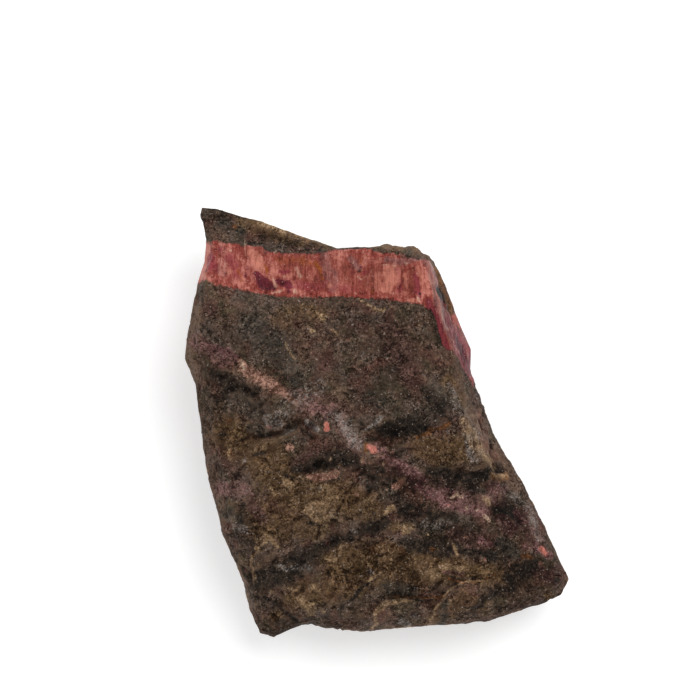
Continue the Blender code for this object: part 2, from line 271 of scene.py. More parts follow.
@dataclass(frozen=True)
class Rim:
    """The stone's widest line: rows of x, y, z and the insets of the top's and the underside's edges."""

    north: Rows = (
        (9.2, 25.8, 14, 2.2, 2.2), (7.8, 26.3, 15.5, 1.6, 2.4), (6.2, 27.5, 16.5, 1.4, 2.6),
        (4.1, 27.2, 17.5, 1.2, 2.6), (1.5, 27.5, 18, 1.2, 2.6), (-1.1, 27, 18.5, 1.1, 2.4),
        (-6.3, 26.8, 19, 1, 2.4), (-10.8, 28.3, 19, 1.1, 2.4), (-18.6, 31.2, 19, 1.2, 2.2),
        (-22.3, 32.2, 18.8, 1, 1.6), (-26, 33.6, 18, 0.7, 0.9), (-28.4, 33.9, 17.5, 0.4, 0.5),
    )
    west: Rows = (
        (-28.4, 33.9, 17.5, 0.4, 0.5), (-28.7, 32.6, 17.7, 0.6, 0.7), (-28.2, 31.2, 18, 0.8, 1),
        (-27.6, 28.3, 18.5, 1.1, 1.6), (-27.9, 24.5, 19, 1.5, 2.2), (-29, 20.9, 19, 1.6, 2.4),
        (-30.6, 12.2, 18, 2.2, 2.6), (-31, 8.9, 17.5, 2.6, 2.8), (-29.3, 5, 17, 2.2, 2.4),
        (-28.6, -0.2, 17, 2.2, 2.2), (-27.4, -9.1, 16.5, 2.2, 2.2), (-24.7, -19.3, 15, 2, 2.2),
        (-21.5, -26.7, 12.5, 1.8, 2), (-20.5, -30.9, 11, 1.4, 1.6), (-18.8, -34.6, 10, 1.2, 1.2),
    )
    south: Rows = (
        (-18.8, -34.6, 10, 1.2, 1.2), (-16.6, -35.2, 10, 1.2, 1.4), (-12.9, -33.6, 11, 1.3, 1.6),
        (-10.6, -33, 12, 1.3, 1.8), (-8.3, -33.8, 12.5, 1.5, 2), (-2.7, -34.6, 12.5, 1.6, 2.2),
        (5.2, -34, 12.5, 1.6, 2.2), (13.3, -33.4, 12.5, 1.6, 2.2), (19.4, -32.4, 12, 1.6, 2.2),
        (27, -29.7, 11, 1.7, 2), (29.6, -28.4, 10.5, 1.8, 1.8),
    )
    east: Rows = (
        (29.6, -28.4, 10.5, 1.8, 1.8), (31, -25.8, 10, 2, 2), (29.5, -22.8, 10, 2.6, 2.4),
        (27, -17.2, 10.5, 4.4, 2.8), (23.5, -10.1, 11, 5.6, 2.8), (19.5, -3.4, 11, 5, 2.6),
        (16.8, 3.2, 11, 4, 2.6), (15.2, 7.2, 11, 3.2, 2.6), (15.3, 11.7, 11, 4.2, 2.6),
        (13.1, 16.9, 11.5, 3.6, 2.6), (11.2, 22, 12.5, 2.6, 2.4), (9.2, 25.8, 14, 2.2, 2.2),
    )
    solid_cells: tuple[int, int] = (38, 42)  # spacing of the frame's solid, which is centred by its box

    @staticmethod
    def _along(side: Rows, shares: Array) -> Array:
        """Rows of a side between its corners.

        Args:
            side: The side's rows.
            shares: How far along the side's length in the plan each wanted row lies, from 0 to 1.

        Returns:
            One row for each share.
        """
        rows = np.array(side, float)
        lengths = np.hypot(*np.diff(rows[:, :2], axis=0).T)
        reached = np.concatenate([[0.0], np.cumsum(lengths)]) / lengths.sum()
        return np.stack([np.interp(shares, reached, column) for column in rows.T], axis=1)

    def loop(self, cells_east: int, cells_north: int) -> Array:
        """The rim as one closed loop of rows.

        Args:
            cells_east: Steps along the south and the north side.
            cells_north: Steps along the east and the west side.

        Returns:
            Rows, anticlockwise from the south-west corner.
        """
        columns = np.linspace(0.0, 1.0, cells_east + 1)
        rows = np.linspace(0.0, 1.0, cells_north + 1)
        sides = ((self.south, columns), (self.east, rows), (self.north, columns), (self.west, rows))
        return np.concatenate([self._along(side, shares)[:-1] for side, shares in sides])

    def middle(self) -> Array:
        """The middle of the solid's box in the plan, which the frame's origin stands under."""
        plan = self.loop(*self.solid_cells)[:, :2]
        return (plan.min(axis=0) + plan.max(axis=0)) / 2


def rim_distance(points: Array, rim: Array) -> tuple[Array, Array]:
    """How far points lie from the rim's loop, and how high the rim nearest to each in the plan lies."""
    away, values, _ = nearest_on_line(points[:, 0], points[:, 1], np.concatenate([rim, rim[:1]]))
    return np.hypot(away, points[:, 2] - values[:, 0]), values[:, 0]


@dataclass(frozen=True)
class Vein:
    """The pink vein: a slab that dips to the south, with walls that cut the top along two lines."""

    wall_x: tuple[float, ...] = (-29.0, -25.0, -20.4, -15.0, -10.0, -5.0, 0.0, 4.5, 9.6, 16.0)
    upper_y: tuple[float, ...] = (20.9, 20.4, 18.9, 18.0, 17.8, 17.7, 17.3, 16.7, 16.0, 15.2)
    lower_y: tuple[float, ...] = (28.3, 27.9, 27.1, 25.7, 25.6, 27.2, 25.9, 24.8, 23.9, 23.2)
    dip_degrees: float = 58.0
    datum: float = 25.4  # height at which the upper wall is where upper_y says
    extra: float = 1.8  # how much thicker the slab is than the part of it in the top
    swing: float = 4.4  # how far the slab bends to the south where the east face falls away
    swing_x: tuple[float, float] = (8.8, 10.8)
    swing_z: tuple[float, float] = (12.0, 17.0)
    upright_x: tuple[float, float] = (-26.4, -28.0)  # between them the slab turns upright to the west
    top_slope: float = -0.42
    footwall_slope: float = -0.62

    def walls(self, x: Array) -> tuple[Array, Array]:
        """y of the upper and the lower wall at the top, for each x."""
        return np.interp(x, self.wall_x, self.upper_y), np.interp(x, self.wall_x, self.lower_y)

    def _dip(self) -> tuple[float, float]:
        """Sine and cosine of the dip."""
        return np.sin(np.radians(self.dip_degrees)), np.cos(np.radians(self.dip_degrees))

    def slab(self, points: Array) -> Array:
        """Distance in from the upper wall's plane: sin(dip) (y - wall) - cos(dip) (z - datum)."""
        (sine, cosine), (upper, _) = self._dip(), self.walls(points[:, 0])
        return sine * (points[:, 1] - upper) - cosine * (points[:, 2] - self.datum)

    def depth(self, points: Array) -> Array:
        """Distance in from the nearer wall, below 0 outside the vein.

        Args:
            points: Rows of x, y and z, in millimetres.

        Returns:
            The lesser of the distance in from the upper wall and what is left of the thickness. The first is
            the slab's distance, the swing that grows eastwards and upwards, and what turns the slab upright.
        """
        x, z = points[:, 0], points[:, 2]
        (west, east), (low, high), (inner, outer) = self.swing_x, self.swing_z, self.upright_x
        sine, cosine = self._dip()
        upright = smooth_step((inner - x) / (inner - outer))
        swung = self.swing * smooth_step((x - west) / (east - west)) * smooth_step((z - low) / (high - low))
        across = self.slab(points) + swung + upright * (cosine * (z - self.datum))
        upper, lower = self.walls(x)
        thickness = sine * (lower - upper) + self.extra * (1.0 - upright)
        return np.minimum(across, thickness - across)

    def fibre_place(self, points: Array) -> Array:
        """Each point in the vein's own directions: along it, down its dip, and across it."""
        sine, cosine = self._dip()
        return np.column_stack([points[:, 0], cosine * points[:, 1] + sine * points[:, 2], self.slab(points)])


@dataclass(frozen=True)
class BrokenForm:
    """The large broken form: facets, steps, raised patches and hollows of the top, facets of the underside.

    A facet is (height at a point, the point, slope eastwards, slope northwards). A step is (reach, width of
    its edge, line of x, y, drop): the surface drops along the line's right-hand side and the drop fades as
    exp(-way / reach).
    A patch is (rise, width of its edge, outline), and a hollow (x, y, half width, half length, depth). The
    patches of the vein and north of it are kept apart, because their broken edges aren't pale: they get no
    painted highlight.
    """

    vein: Vein = Vein()
    facet_blend: float = 0.3
    land_blend: float = 0.7
    facets: tuple = (
        (25.5, (0, 5), 0.03, -0.02), (24.3, (-16, 1), 0.11, 0.145), (22.6, (0, -15), 0.02, 0.3),
        (20.3, (16, -15), -0.45, 0.1), (16.8, (-20.4, -27), 0.46, 0.74), (24.2, (10, 6), -0.55, -0.1),
    )
    under_facets: tuple = (
        (0, (-12.5, 0), -0.68, 0.05), (0, (0, -15), 0.03, -0.4), (0, (-8, -10.5), -0.26, -0.22),
        (0, (0, 11.3), 0.17, 0.8), (0, (12, 0), 1.05, 0.44), (0, (6, 9), 0.3, 0.42),
    )
    step_share: float = 0.5  # how much of each step's drop stands as one edge, the chips taking up the rest
    wander: float = 0.5  # how far the lines of steps and hollows wander, in millimetres
    wander_noises: tuple = ((1.9, 3, 301), (1.9, 3, 311))  # eastwards and northwards
    patch_wander: float = 0.7  # the same for patches, as a share of the steps' wander
    hollow_edge: float = 1.3  # squared share of a hollow's half size at which it ends
    steps: tuple = (
        (6, 3.6, ((-28.5, 6.5, 0.3), (-22.5, 4, 1.1), (-19.5, 1.4, 1.3), (-15.5, -1.4, 0.9),
            (-11, -4.4, 0.2))),
        (8, 2.4, ((-3, -5.8, 0), (-0.1, -4.4, 1.6), (3.6, -2.6, 2.4), (7.3, -1.4, 2.3), (9.5, -0.4, 1.6),
            (13, 0.8, 0))),
        (8, 1.8, ((3, -11.6, 0), (6.2, -11.1, 1.6), (10, -9.7, 2.4), (14.8, -9.7, 2.8), (19.1, -9.1, 2.4),
            (21.5, -8, 1))),
        (5, 2, ((13, -16.5, 0), (16.5, -16, 1.2), (18.1, -14.9, 2), (20.5, -13.8, 2.2), (22.9, -12.8, 1.2),
            (24.5, -12, 0))),
        (7, 3.2, ((-16, -11.4, 0.2), (-13.4, -10.1, 1.1), (-10.7, -8.8, 1.7), (-5.5, -7.7, 1.8),
            (-0.4, -9.9, 1.4), (3.5, -12.5, 0.6), (6, -14, 0))),
        (7, 3.6, ((-21, -27.4, 0.8), (-12.3, -23, 1.4), (-5.1, -19.9, 1.5), (2, -17.6, 1.2), (6, -16.8, 0))),
        (5, 3, ((2, -27.2, 0), (9, -25.6, 0.8), (17, -22.4, 1.2), (24, -20.6, 0.8), (27, -20, 0))),
        (4, 2, ((-20.3, -27.8, 0.6), (-17.1, -29.6, 1), (-13.9, -31.9, 0.8), (-10.7, -34, 0.2))),
    )
    patches: tuple = (
        (0.7, 0.5, ((-0.7, -32.1), (1.1, -30.6), (4.1, -30.2), (7.6, -30.8), (8.7, -32.1), (8.4, -35),
            (-0.5, -35))),
        (0.8, 0.5, ((7.9, -34), (9.5, -30.9), (11.1, -28.8), (13.7, -27.2), (17.5, -27.3), (19.3, -28.5),
            (18, -31.6), (14.8, -34.3))),
        (0.5, 0.4, ((-11.2, -16.4), (-10.2, -15.1), (-7.5, -15.6), (-5.5, -16.7), (-6.2, -18.5),
            (-10.4, -18.4))),
        (0.5, 0.4, ((-19.5, -21.2), (-17.6, -20.4), (-15.5, -21.2), (-15.8, -22.8), (-17.6, -24.3),
            (-19.2, -23.1))),
    )
    north_patches: tuple = (
        (0.7, 0.4, ((-20.9, 27.4), (-18.1, 27.2), (-18.2, 22.3), (-20.6, 22.9), (-21.4, 24.3))),
        (0.6, 0.35, ((-1.9, 23.4), (3, 23.4), (3.1, 19.6), (0.6, 17.4), (-1.7, 18.6), (-1.2, 21.6))),
        (-0.35, 0.5, ((3.2, 23.6), (5.6, 23.6), (5.6, 16.8), (3.2, 16.8))),
        (0.9, 0.8, ((0.9, 26), (1.8, 27.9), (6.4, 27.6), (7.2, 25.4), (4, 24.8))),
        (0.7, 0.8, ((-4.6, 25.9), (-4, 27.6), (-0.9, 27.6), (-0.6, 25.8))),
    )
    hollows: tuple = (
        (-16.8, 20.2, 2.4, 1.3, 0.6), (4.5, -4.3, 3.6, 1.4, 0.5), (20.2, -16, 2.6, 1.5, 0.5),
    )

    @staticmethod
    def _facet_heights(facets: tuple, x: Array, y: Array) -> list[Array]:
        """The height of each flat facet over x, y."""
        return [z + (x - at[0]) * east + (y - at[1]) * north for z, at, east, north in facets]

    def top_height(self, x: Array, y: Array) -> Array:
        """Height of the broken top.

        The lowest facet wins, then the steps are taken off, the patches added and the hollows sunk. The
        lines of all three wander by a little noise, so that none runs straight.

        Args:
            x: How far east, in millimetres.
            y: How far north.

        Returns:
            Heights of the same shape as x.
        """
        upper, lower = self.vein.walls(x)
        heights = self._facet_heights(self.facets, x, y)
        vein = heights[0] + self.vein.top_slope * (y - upper)
        footwall = heights[0] + self.vein.top_slope * (lower - upper) + self.vein.footwall_slope * (y - lower)
        top = smooth_lowest([*heights, vein, footwall], self.facet_blend)
        flat = np.column_stack([x.ravel(), y.ravel(), np.zeros(x.size)])
        east, north = [self.wander * fractal(flat, *noise).reshape(x.shape) for noise in self.wander_noises]
        for reach, width, line in self.steps:
            distance, values, side = nearest_on_line(x + east, y + north, np.array(line))
            signed = distance * side
            edge = smooth_step(signed / width + 0.5)
            top = top - self.step_share * values[..., 0] * edge * np.exp(-np.maximum(signed, 0.0) / reach)
        for rise, width, outline in (*self.patches, *self.north_patches):
            inside = signed_inside(x + self.patch_wander * east, y + self.patch_wander * north, outline)
            top = top + rise * smooth_step(inside / width + 0.5)
        for middle_x, middle_y, half_x, half_y, depth in self.hollows:
            away = ((x + east - middle_x) / half_x) ** 2 + ((y + north - middle_y) / half_y) ** 2
            top = top - depth * smooth_step(self.hollow_edge - away)
        return top

    def under_height(self, x: Array, y: Array) -> Array:
        """Height of the underside: 0 over the land, and beyond it h^2 / (h + b) of the highest facet h.

        Args:
            x: How far east, in millimetres.
            y: How far north.

        Returns:
            Heights of the same shape as x.
        """
        facets = [-height for height in self._facet_heights(self.under_facets, x, y)]
        rough = np.maximum(-smooth_lowest(facets, self.facet_blend), 0.0)
        return rough * rough / (rough + self.land_blend)


@dataclass
class ClosedSurface:
    """A closed surface: points in millimetres, and faces as point numbers, anticlockwise from outside."""

    points: Array
    quads: Array
    triangles: Array

    def smoothed(self, rounds: int, share: float = 0.5) -> Array:
        """The points after each has moved part of the way to its neighbours' mean, round after round.

        Args:
            rounds: How many times they move.
            share: Which part of the way.

        Returns:
            The new points.
        """
        sides = [self.quads[:, [k, (k + 1) % 4]] for k in range(4)]
        sides += [self.triangles[:, [k, (k + 1) % 3]] for k in range(3)]
        start, end = np.concatenate([*sides, *[side[:, ::-1] for side in sides]]).T
        count = np.bincount(start, minlength=len(self.points))[:, None]
        points = self.points
        for _ in range(rounds):
            sums = [np.bincount(start, column[end], len(points)) for column in points.T]
            points = points + share * (np.stack(sums, axis=1) / count - points)
        return points

    def normals(self) -> Array:
        """Normals of the points: the sum of the area vectors of the faces round each, made one long.

        Returns:
            One unit vector a row.
        """
        quads, triangles = self.points[self.quads], self.points[self.triangles]
        quad_area = np.cross(quads[:, 2] - quads[:, 0], quads[:, 3] - quads[:, 1])
        triangle_area = np.cross(triangles[:, 1] - triangles[:, 0], triangles[:, 2] - triangles[:, 0])
        corners = np.concatenate([self.quads.ravel(), self.triangles.ravel()])
        areas = np.concatenate([np.repeat(quad_area, 4, axis=0), np.repeat(triangle_area, 3, axis=0)])
        total = np.stack([np.bincount(corners, column, len(self.points)) for column in areas.T], axis=1)
        return total / np.linalg.norm(total, axis=1, keepdims=True)


@dataclass
class StoneShape:
    """Builds the closed surface: a fine top and band, and an underside with cells twice as wide."""

    rim: Rim = Rim()
    form: BrokenForm = BrokenForm()
    cells: tuple[int, int] = (204, 228)  # of the top, eastwards and northwards, both even
    levels: tuple[int, int] = (17, 23)  # rows of the band under and over the rim
    rim_sharpness: float = 0.22  # rounding of the rim, as a share of each slope beside it
    rim_reach: int = 3  # how many points ahead and behind tell which way the rim runs
    under_inset: float = 0.6  # how far inside the band's lowest row the underside's wider cells begin
    relax_rounds: int = 240  # how many times the inner points of a grid move

    def _moved_in(self, rim: Array, plan: Array, inset: Array) -> Array:
        """A loop's points moved inwards, square to the rim.

        Args:
            rim: The rim's loop of rows, which tells the direction.
            plan: The plan points to move, one for each row of the rim.
            inset: How far each moves.

        Returns:
            The new plan points.
        """
        ahead, behind = (np.roll(rim[:, :2], step, axis=0) for step in (-self.rim_reach, self.rim_reach))
        along = ahead - behind
        inwards = np.stack([-along[:, 1], along[:, 0]], axis=1)
        return plan + inwards / np.hypot(*along.T)[:, None] * inset[:, None]

    def _inside_loop(self, loop: Array, east: int, north: int) -> Array:
        """Plan points of a grid whose border is a loop.

        A Coons patch: the blend of the west and east sides plus the blend of the south and north sides,
        less the flat blend of the four corners. Then, round after round, each inner point moves to the mean
        of its four neighbours, so that the grid folds nowhere.

        Args:
            loop: The border's points, anticlockwise from the south-west corner.
            east: Cells from west to east.
            north: Cells from south to north.

        Returns:
            Points of shape (north + 1, east + 1, 2).
        """
        south_side = loop[: east + 1]
        east_side = loop[east : east + north + 1]
        north_side = loop[east + north : 2 * east + north + 1][::-1]
        west_side = np.concatenate([loop[2 * east + north :], loop[:1]])[::-1]
        s, t = np.meshgrid(np.linspace(0.0, 1.0, east + 1), np.linspace(0.0, 1.0, north + 1))
        s, t = s[..., None], t[..., None]
        across = (1 - t) * south_side[None] + t * north_side[None]
        up = (1 - s) * west_side[:, None] + s * east_side[:, None]
        south_pair = (1 - s) * south_side[0] + s * south_side[-1]
        north_pair = (1 - s) * north_side[0] + s * north_side[-1]
        grid = across + up - (1 - t) * south_pair - t * north_pair
        for _ in range(self.relax_rounds):
            grid[1:-1, 1:-1] = (grid[:-2, 1:-1] + grid[2:, 1:-1] + grid[1:-1, :-2] + grid[1:-1, 2:]) / 4.0
        return grid

    def _slope(self, share: Array) -> Array:
        """0 to 1, leaving 0 squarely and then straight: sqrt(s^2 + k^2) - k over its value at 1."""
        sharp = self.rim_sharpness
        return (np.hypot(share, sharp) - sharp) / (np.hypot(1.0, sharp) - sharp)

    def _band(self, rim: Array, under: Array, top: Array) -> Array:
        """Rows of points from the underside's edge, through the rim, to just under the top's edge.

        Args:
            rim: The rim's loop of rows.
            under: The underside's edge, as rows of x, y and z.
            top: The top's edge, likewise.

        Returns:
            Points of shape (rows, length of the loop, 3).
        """
        lower = np.linspace(1.0, 0.0, self.levels[0] + 1)[:, None, None]
        upper = np.linspace(0.0, 1.0, self.levels[1] + 1)[1:-1, None, None]
        rows = []
        for share, edge in ((lower, under), (upper, top)):
            plan = rim[None, :, :2] + (edge[None, :, :2] - rim[None, :, :2]) * self._slope(share)
            height = rim[None, :, 2:3] + (edge[None, :, 2:3] - rim[None, :, 2:3]) * share
            rows.append(np.concatenate([plan, height], axis=2))
        return np.concatenate(rows)

    @staticmethod
    def _grid_faces(ids: Array) -> Array:
        """The quads between the rows and columns of a grid of point numbers."""
        corners = (ids[:-1, :-1], ids[:-1, 1:], ids[1:, 1:], ids[1:, :-1])
        return np.stack(corners, axis=-1).reshape(-1, 4)

    @staticmethod
    def _border(ids: Array) -> Array:
        """A grid's border as a loop, anticlockwise from the south-west corner."""
        return np.concatenate([ids[0, :-1], ids[:-1, -1], ids[-1, :0:-1], ids[:0:-1, 0]])

    def _sheet(self, loop: Array, east: int, north: int, height: Callable) -> Array:
        """A grid inside a loop, lifted to the height that a function gives for x and y."""
        plan = self._inside_loop(loop, east, north)
        return np.dstack([plan, height(plan[..., 0], plan[..., 1])])

    def surface(self) -> ClosedSurface:
        """The whole stone before its chips.

        Returns:
            The closed surface. The underside's ring of wider cells meets the band's lowest row with three
            triangles to each wide cell.
        """
        east, north = self.cells
        rim = self.rim.loop(east, north)
        edges = []
        for height, inset in ((self.form.under_height, rim[:, 4]), (self.form.top_height, rim[:, 3])):
            plan = self._moved_in(rim, rim[:, :2], inset)
            edges.append(np.column_stack([plan, height(*plan.T)]))
        under_edge, top_edge = edges
        inner = self._moved_in(rim, under_edge[:, :2], np.full(len(rim), self.under_inset))[::2]
        top = self._sheet(top_edge[:, :2], east, north, self.form.top_height)
        band = self._band(rim, under_edge, top_edge)
        under = self._sheet(inner, east // 2, north // 2, self.form.under_height)

        sizes = [grid.shape[0] * grid.shape[1] for grid in (top, band, under)]
        starts = np.cumsum([0, *sizes])
        top_ids, band_ids, under_ids = [
            start + np.arange(size).reshape(grid.shape[:2])
            for start, size, grid in zip(starts, sizes, (top, band, under))
        ]
        rows = np.vstack([band_ids, self._border(top_ids)])
        rows = np.hstack([rows, rows[:, :1]])
        quads = [self._grid_faces(top_ids), self._grid_faces(rows), self._grid_faces(under_ids)[:, ::-1]]
        fine, wide = rows[0], self._border(under_ids)
        wide_next = np.roll(wide, -1)
        middles = fine[1::2]
        fans = ((wide, wide_next, middles), (wide, middles, fine[:-1:2]), (wide_next, fine[2::2], middles))
        triangles = [np.stack(fan, axis=1) for fan in fans]
        points = np.concatenate([grid.reshape(-1, 3) for grid in (top, band, under)])
        return ClosedSurface(points, np.concatenate(quads), np.concatenate(triangles))


@dataclass
class BrokenSkin:
    """The fine relief of the broken surface, added to the form along its normals, in millimetres.

    A noise is given by its wavelength, octaves, seed and gain.
    """

    vein: Vein = Vein()
    seam: Rows = ((-26.0, 9.8), (29.5, -24.5))  # the line across the top that the smooth main face ends at
    seam_fade: float = 5.0
    face_up: float = 0.6  # the upward part of a normal at which the main face begins
    face_up_fade: float = 0.25
    main_face_share: float = 0.3  # how far chips stand out on the main face, as a share of elsewhere
    vein_fade: float = 0.5  # depth at which the vein's own relief is whole
    vein_calm: float = 0.8  # how much of the rock's relief the vein lacks
    soften_rounds: int = 6  # how many times the form is smoothed before the relief goes on
    rim_kept: float = 1.2  # how far from the rim the form keeps its sharpness
    large_fade: float = 4.0  # how far from the rim the large chips reach their full height
    small_fade: float = 2.5
    small_at_rim: float = 0.35  # share of the small relief that is left at the rim
    land_fade: float = 3.0  # height over the land at which the relief is whole
    large_chips: tuple = (
        ChipLayer(9.0, 0.45, 0.8, 0.4, 11),
        ChipLayer(4.1, 0.16, 0.26, 0.3, 21, (1.5, 1.0, 1.0)),
    )
    small_chips: tuple = (
        ChipLayer(1.9, 0.12, 0.28, 0.1, 41, (1.35, 1.0, 1.0)),
        ChipLayer(0.95, 0.07, 0.16, 0.06, 51, (1.2, 1.0, 1.0)),
    )
    vein_chips: tuple = (
        ChipLayer(1.9, 0.1, 0.1, 0.1, 61, (1.0, 1.6, 2.6), 0.0),
        ChipLayer(0.6, 0.03, 0.04, 0.06, 71, (1.0, 2.0, 4.0), 0.0),
    )
    plate: float = 0.06  # thickness of the flakes that the lower top breaks into
    flake_degrees: float = -25.0
    flake_stretch: Triple = (1.5, 1.0, 1.3)
    flake_treads: float = 2.2
    flake_riser: float = 0.3  # width of a riser, as a share of a tread
    flake_noise: tuple = (4.6, 4, 81, 0.62)
    flake_share: float = 0.7
    flake_calm: float = 0.85  # how much of the flakes the main face lacks
    grain: float = 0.18
    grain_noise: tuple = (1.3, 3, 91, 0.8)
    pits: float = 0.12
    pit_noise: tuple = (2.4, 3, 95)

    def main_face(self, points: Array, normals: Array) -> Array:
        """Where the smooth main face of the top lies: north of the seam, and facing up.

        Args:
            points: Rows of x, y and z, in millimetres.
            normals: Their unit normals.

        Returns:
            1 on the main face, 0 elsewhere and a smooth step between.
        """
        (west_x, west_y), (east_x, east_y) = self.seam
        seam_y = west_y + (points[:, 0] - west_x) * (east_y - west_y) / (east_x - west_x)
        north = smooth_step((points[:, 1] - seam_y) / self.seam_fade)
        return north * smooth_step((normals[:, 2] - self.face_up) / self.face_up_fade)

    def flakes(self, points: Array) -> Array:
        """Flat flakes: a wide noise cut into treads of the plate's thickness, with a sharp riser between.

        Args:
            points: Rows of x, y and z, in millimetres.

        Returns:
            One height for each point.
        """
        turned = points @ turn_about((0.0, 0.0, 1.0), self.flake_degrees).T
        wide = self.flake_treads * fractal(turned / np.array(self.flake_stretch), *self.flake_noise)
        share = wide - np.floor(wide)
        return self.plate * (np.floor(wide) + smooth_step((share - 0.5) / self.flake_riser + 0.5) - 0.5)

    def applied(self, surface: ClosedSurface, rim: Array) -> ClosedSurface:
        """The surface with its relief.

        Args:
            surface: The form.
            rim: The rim's loop of rows.

        Returns:
            The form, softened except at the rim, and moved along its normals by the sum of the chips, flakes,
            fibres and grain. They fade out over the land and at the rim, so that the outline stays.
        """
        kept = 1.0 - smooth_step(rim_distance(surface.points, rim)[0] / self.rim_kept)
        softened = surface.smoothed(self.soften_rounds)
        softened += kept[:, None] * (surface.points - softened)
        form = ClosedSurface(softened, surface.quads, surface.triangles)
        points, normals = form.points, form.normals()
        away, _ = rim_distance(points, rim)
        land = smooth_step(points[:, 2] / self.land_fade)
        main = self.main_face(points, normals)
        vein = smooth_step(self.vein.depth(points) / self.vein_fade)
        rough = 1.0 + (self.main_face_share - 1.0) * main
        large = sum(layer.height(points) for layer in self.large_chips)
        small = sum(layer.height(points) for layer in self.small_chips)
        fibres = sum(layer.height(self.vein.fibre_place(points)) for layer in self.vein_chips)
        move = smooth_step(away / self.large_fade) * land * rough * large
        near_rim = self.small_at_rim + (1.0 - self.small_at_rim) * smooth_step(away / self.small_fade)
        fine = small * rough + self.flakes(points) * (1.0 - self.flake_calm * main) * self.flake_share
        fine = fine + self.grain * fractal(points, *self.grain_noise)
        move += near_rim * land * ((1.0 - self.vein_calm * vein) * fine + vein * fibres)
        moved = points + normals * move[:, None]
        pitted = self.pits * (1.0 + fractal(points, *self.pit_noise))
        moved[:, 2] = np.maximum(moved[:, 2], 0.0) + (1.0 - land) * pitted
        return ClosedSurface(moved, surface.quads, surface.triangles)


# ---- marks


class Mark(Enum):
    """The kinds of colour marks, each kept on the mesh as an attribute of that name."""

    DARK = "mark_dark"
    PALE = "mark_pale"
    OLIVE = "mark_olive"
    SLATE = "mark_slate"
    PLUM = "mark_plum"
    FROST = "mark_frost"
    BLACK = "mark_black"
    ROSE = "mark_rose"
    SALMON = "mark_salmon"
    RUST = "mark_rust"
    TAN = "mark_tan"
    CORAL = "mark_coral"
    EMBER = "mark_ember"
    CRIMSON = "mark_crimson"
    MAUVE = "mark_mauve"
    MAROON = "mark_maroon"
    STAIN = "mark_stain"
    CREAM = "mark_cream"


@dataclass(frozen=True)
class Streak:
    """One mark: how strong it is, and a line of x, y and half its width there.

    A strength of 1 covers the rock, and less covers that share of it in patches. `softness` is how far the
    edge fades, as a share of the half width.
    """

    strength: float
    line: Rows
    softness: float = 0.6

    def cover(self, x: Array, y: Array) -> Array:
        """How much of the mark lies at each point: all of it inside the half width, fading beyond it.

        Args:
            x: How far east, in millimetres.
            y: How far north.

        Returns:
            Values from 0 to the mark's strength.
        """
        first = self.line[0]
        rows = self.line if len(self.line) > 1 else (first, (first[0] + DOT_LENGTH, *first[1:]))
        distance, values, _ = nearest_on_line(x, y, np.array(rows, float))
        width = values[:, 0]
        edge = self.softness * width
        return self.strength * smooth_step((width + edge - distance) / (2 * edge))


def dots(strength: float, radius: float, *places: tuple[float, float]) -> tuple[tuple, ...]:
    """Rows of round marks, one at each place."""
    return tuple((strength, (x, y, radius)) for x, y in places)


def streaks(*rows: tuple, softness: float = 0.6) -> tuple[Streak, ...]:
    """Marks from rows of a strength, places of x, y and half width, and a softness if it isn't the usual."""
    full = [(*row, softness) if isinstance(row[-1], tuple) else row for row in rows]
    return tuple(Streak(strength, places, soft) for strength, *places, soft in full)


MARKS: dict[Mark, tuple[Streak, ...]] = {}
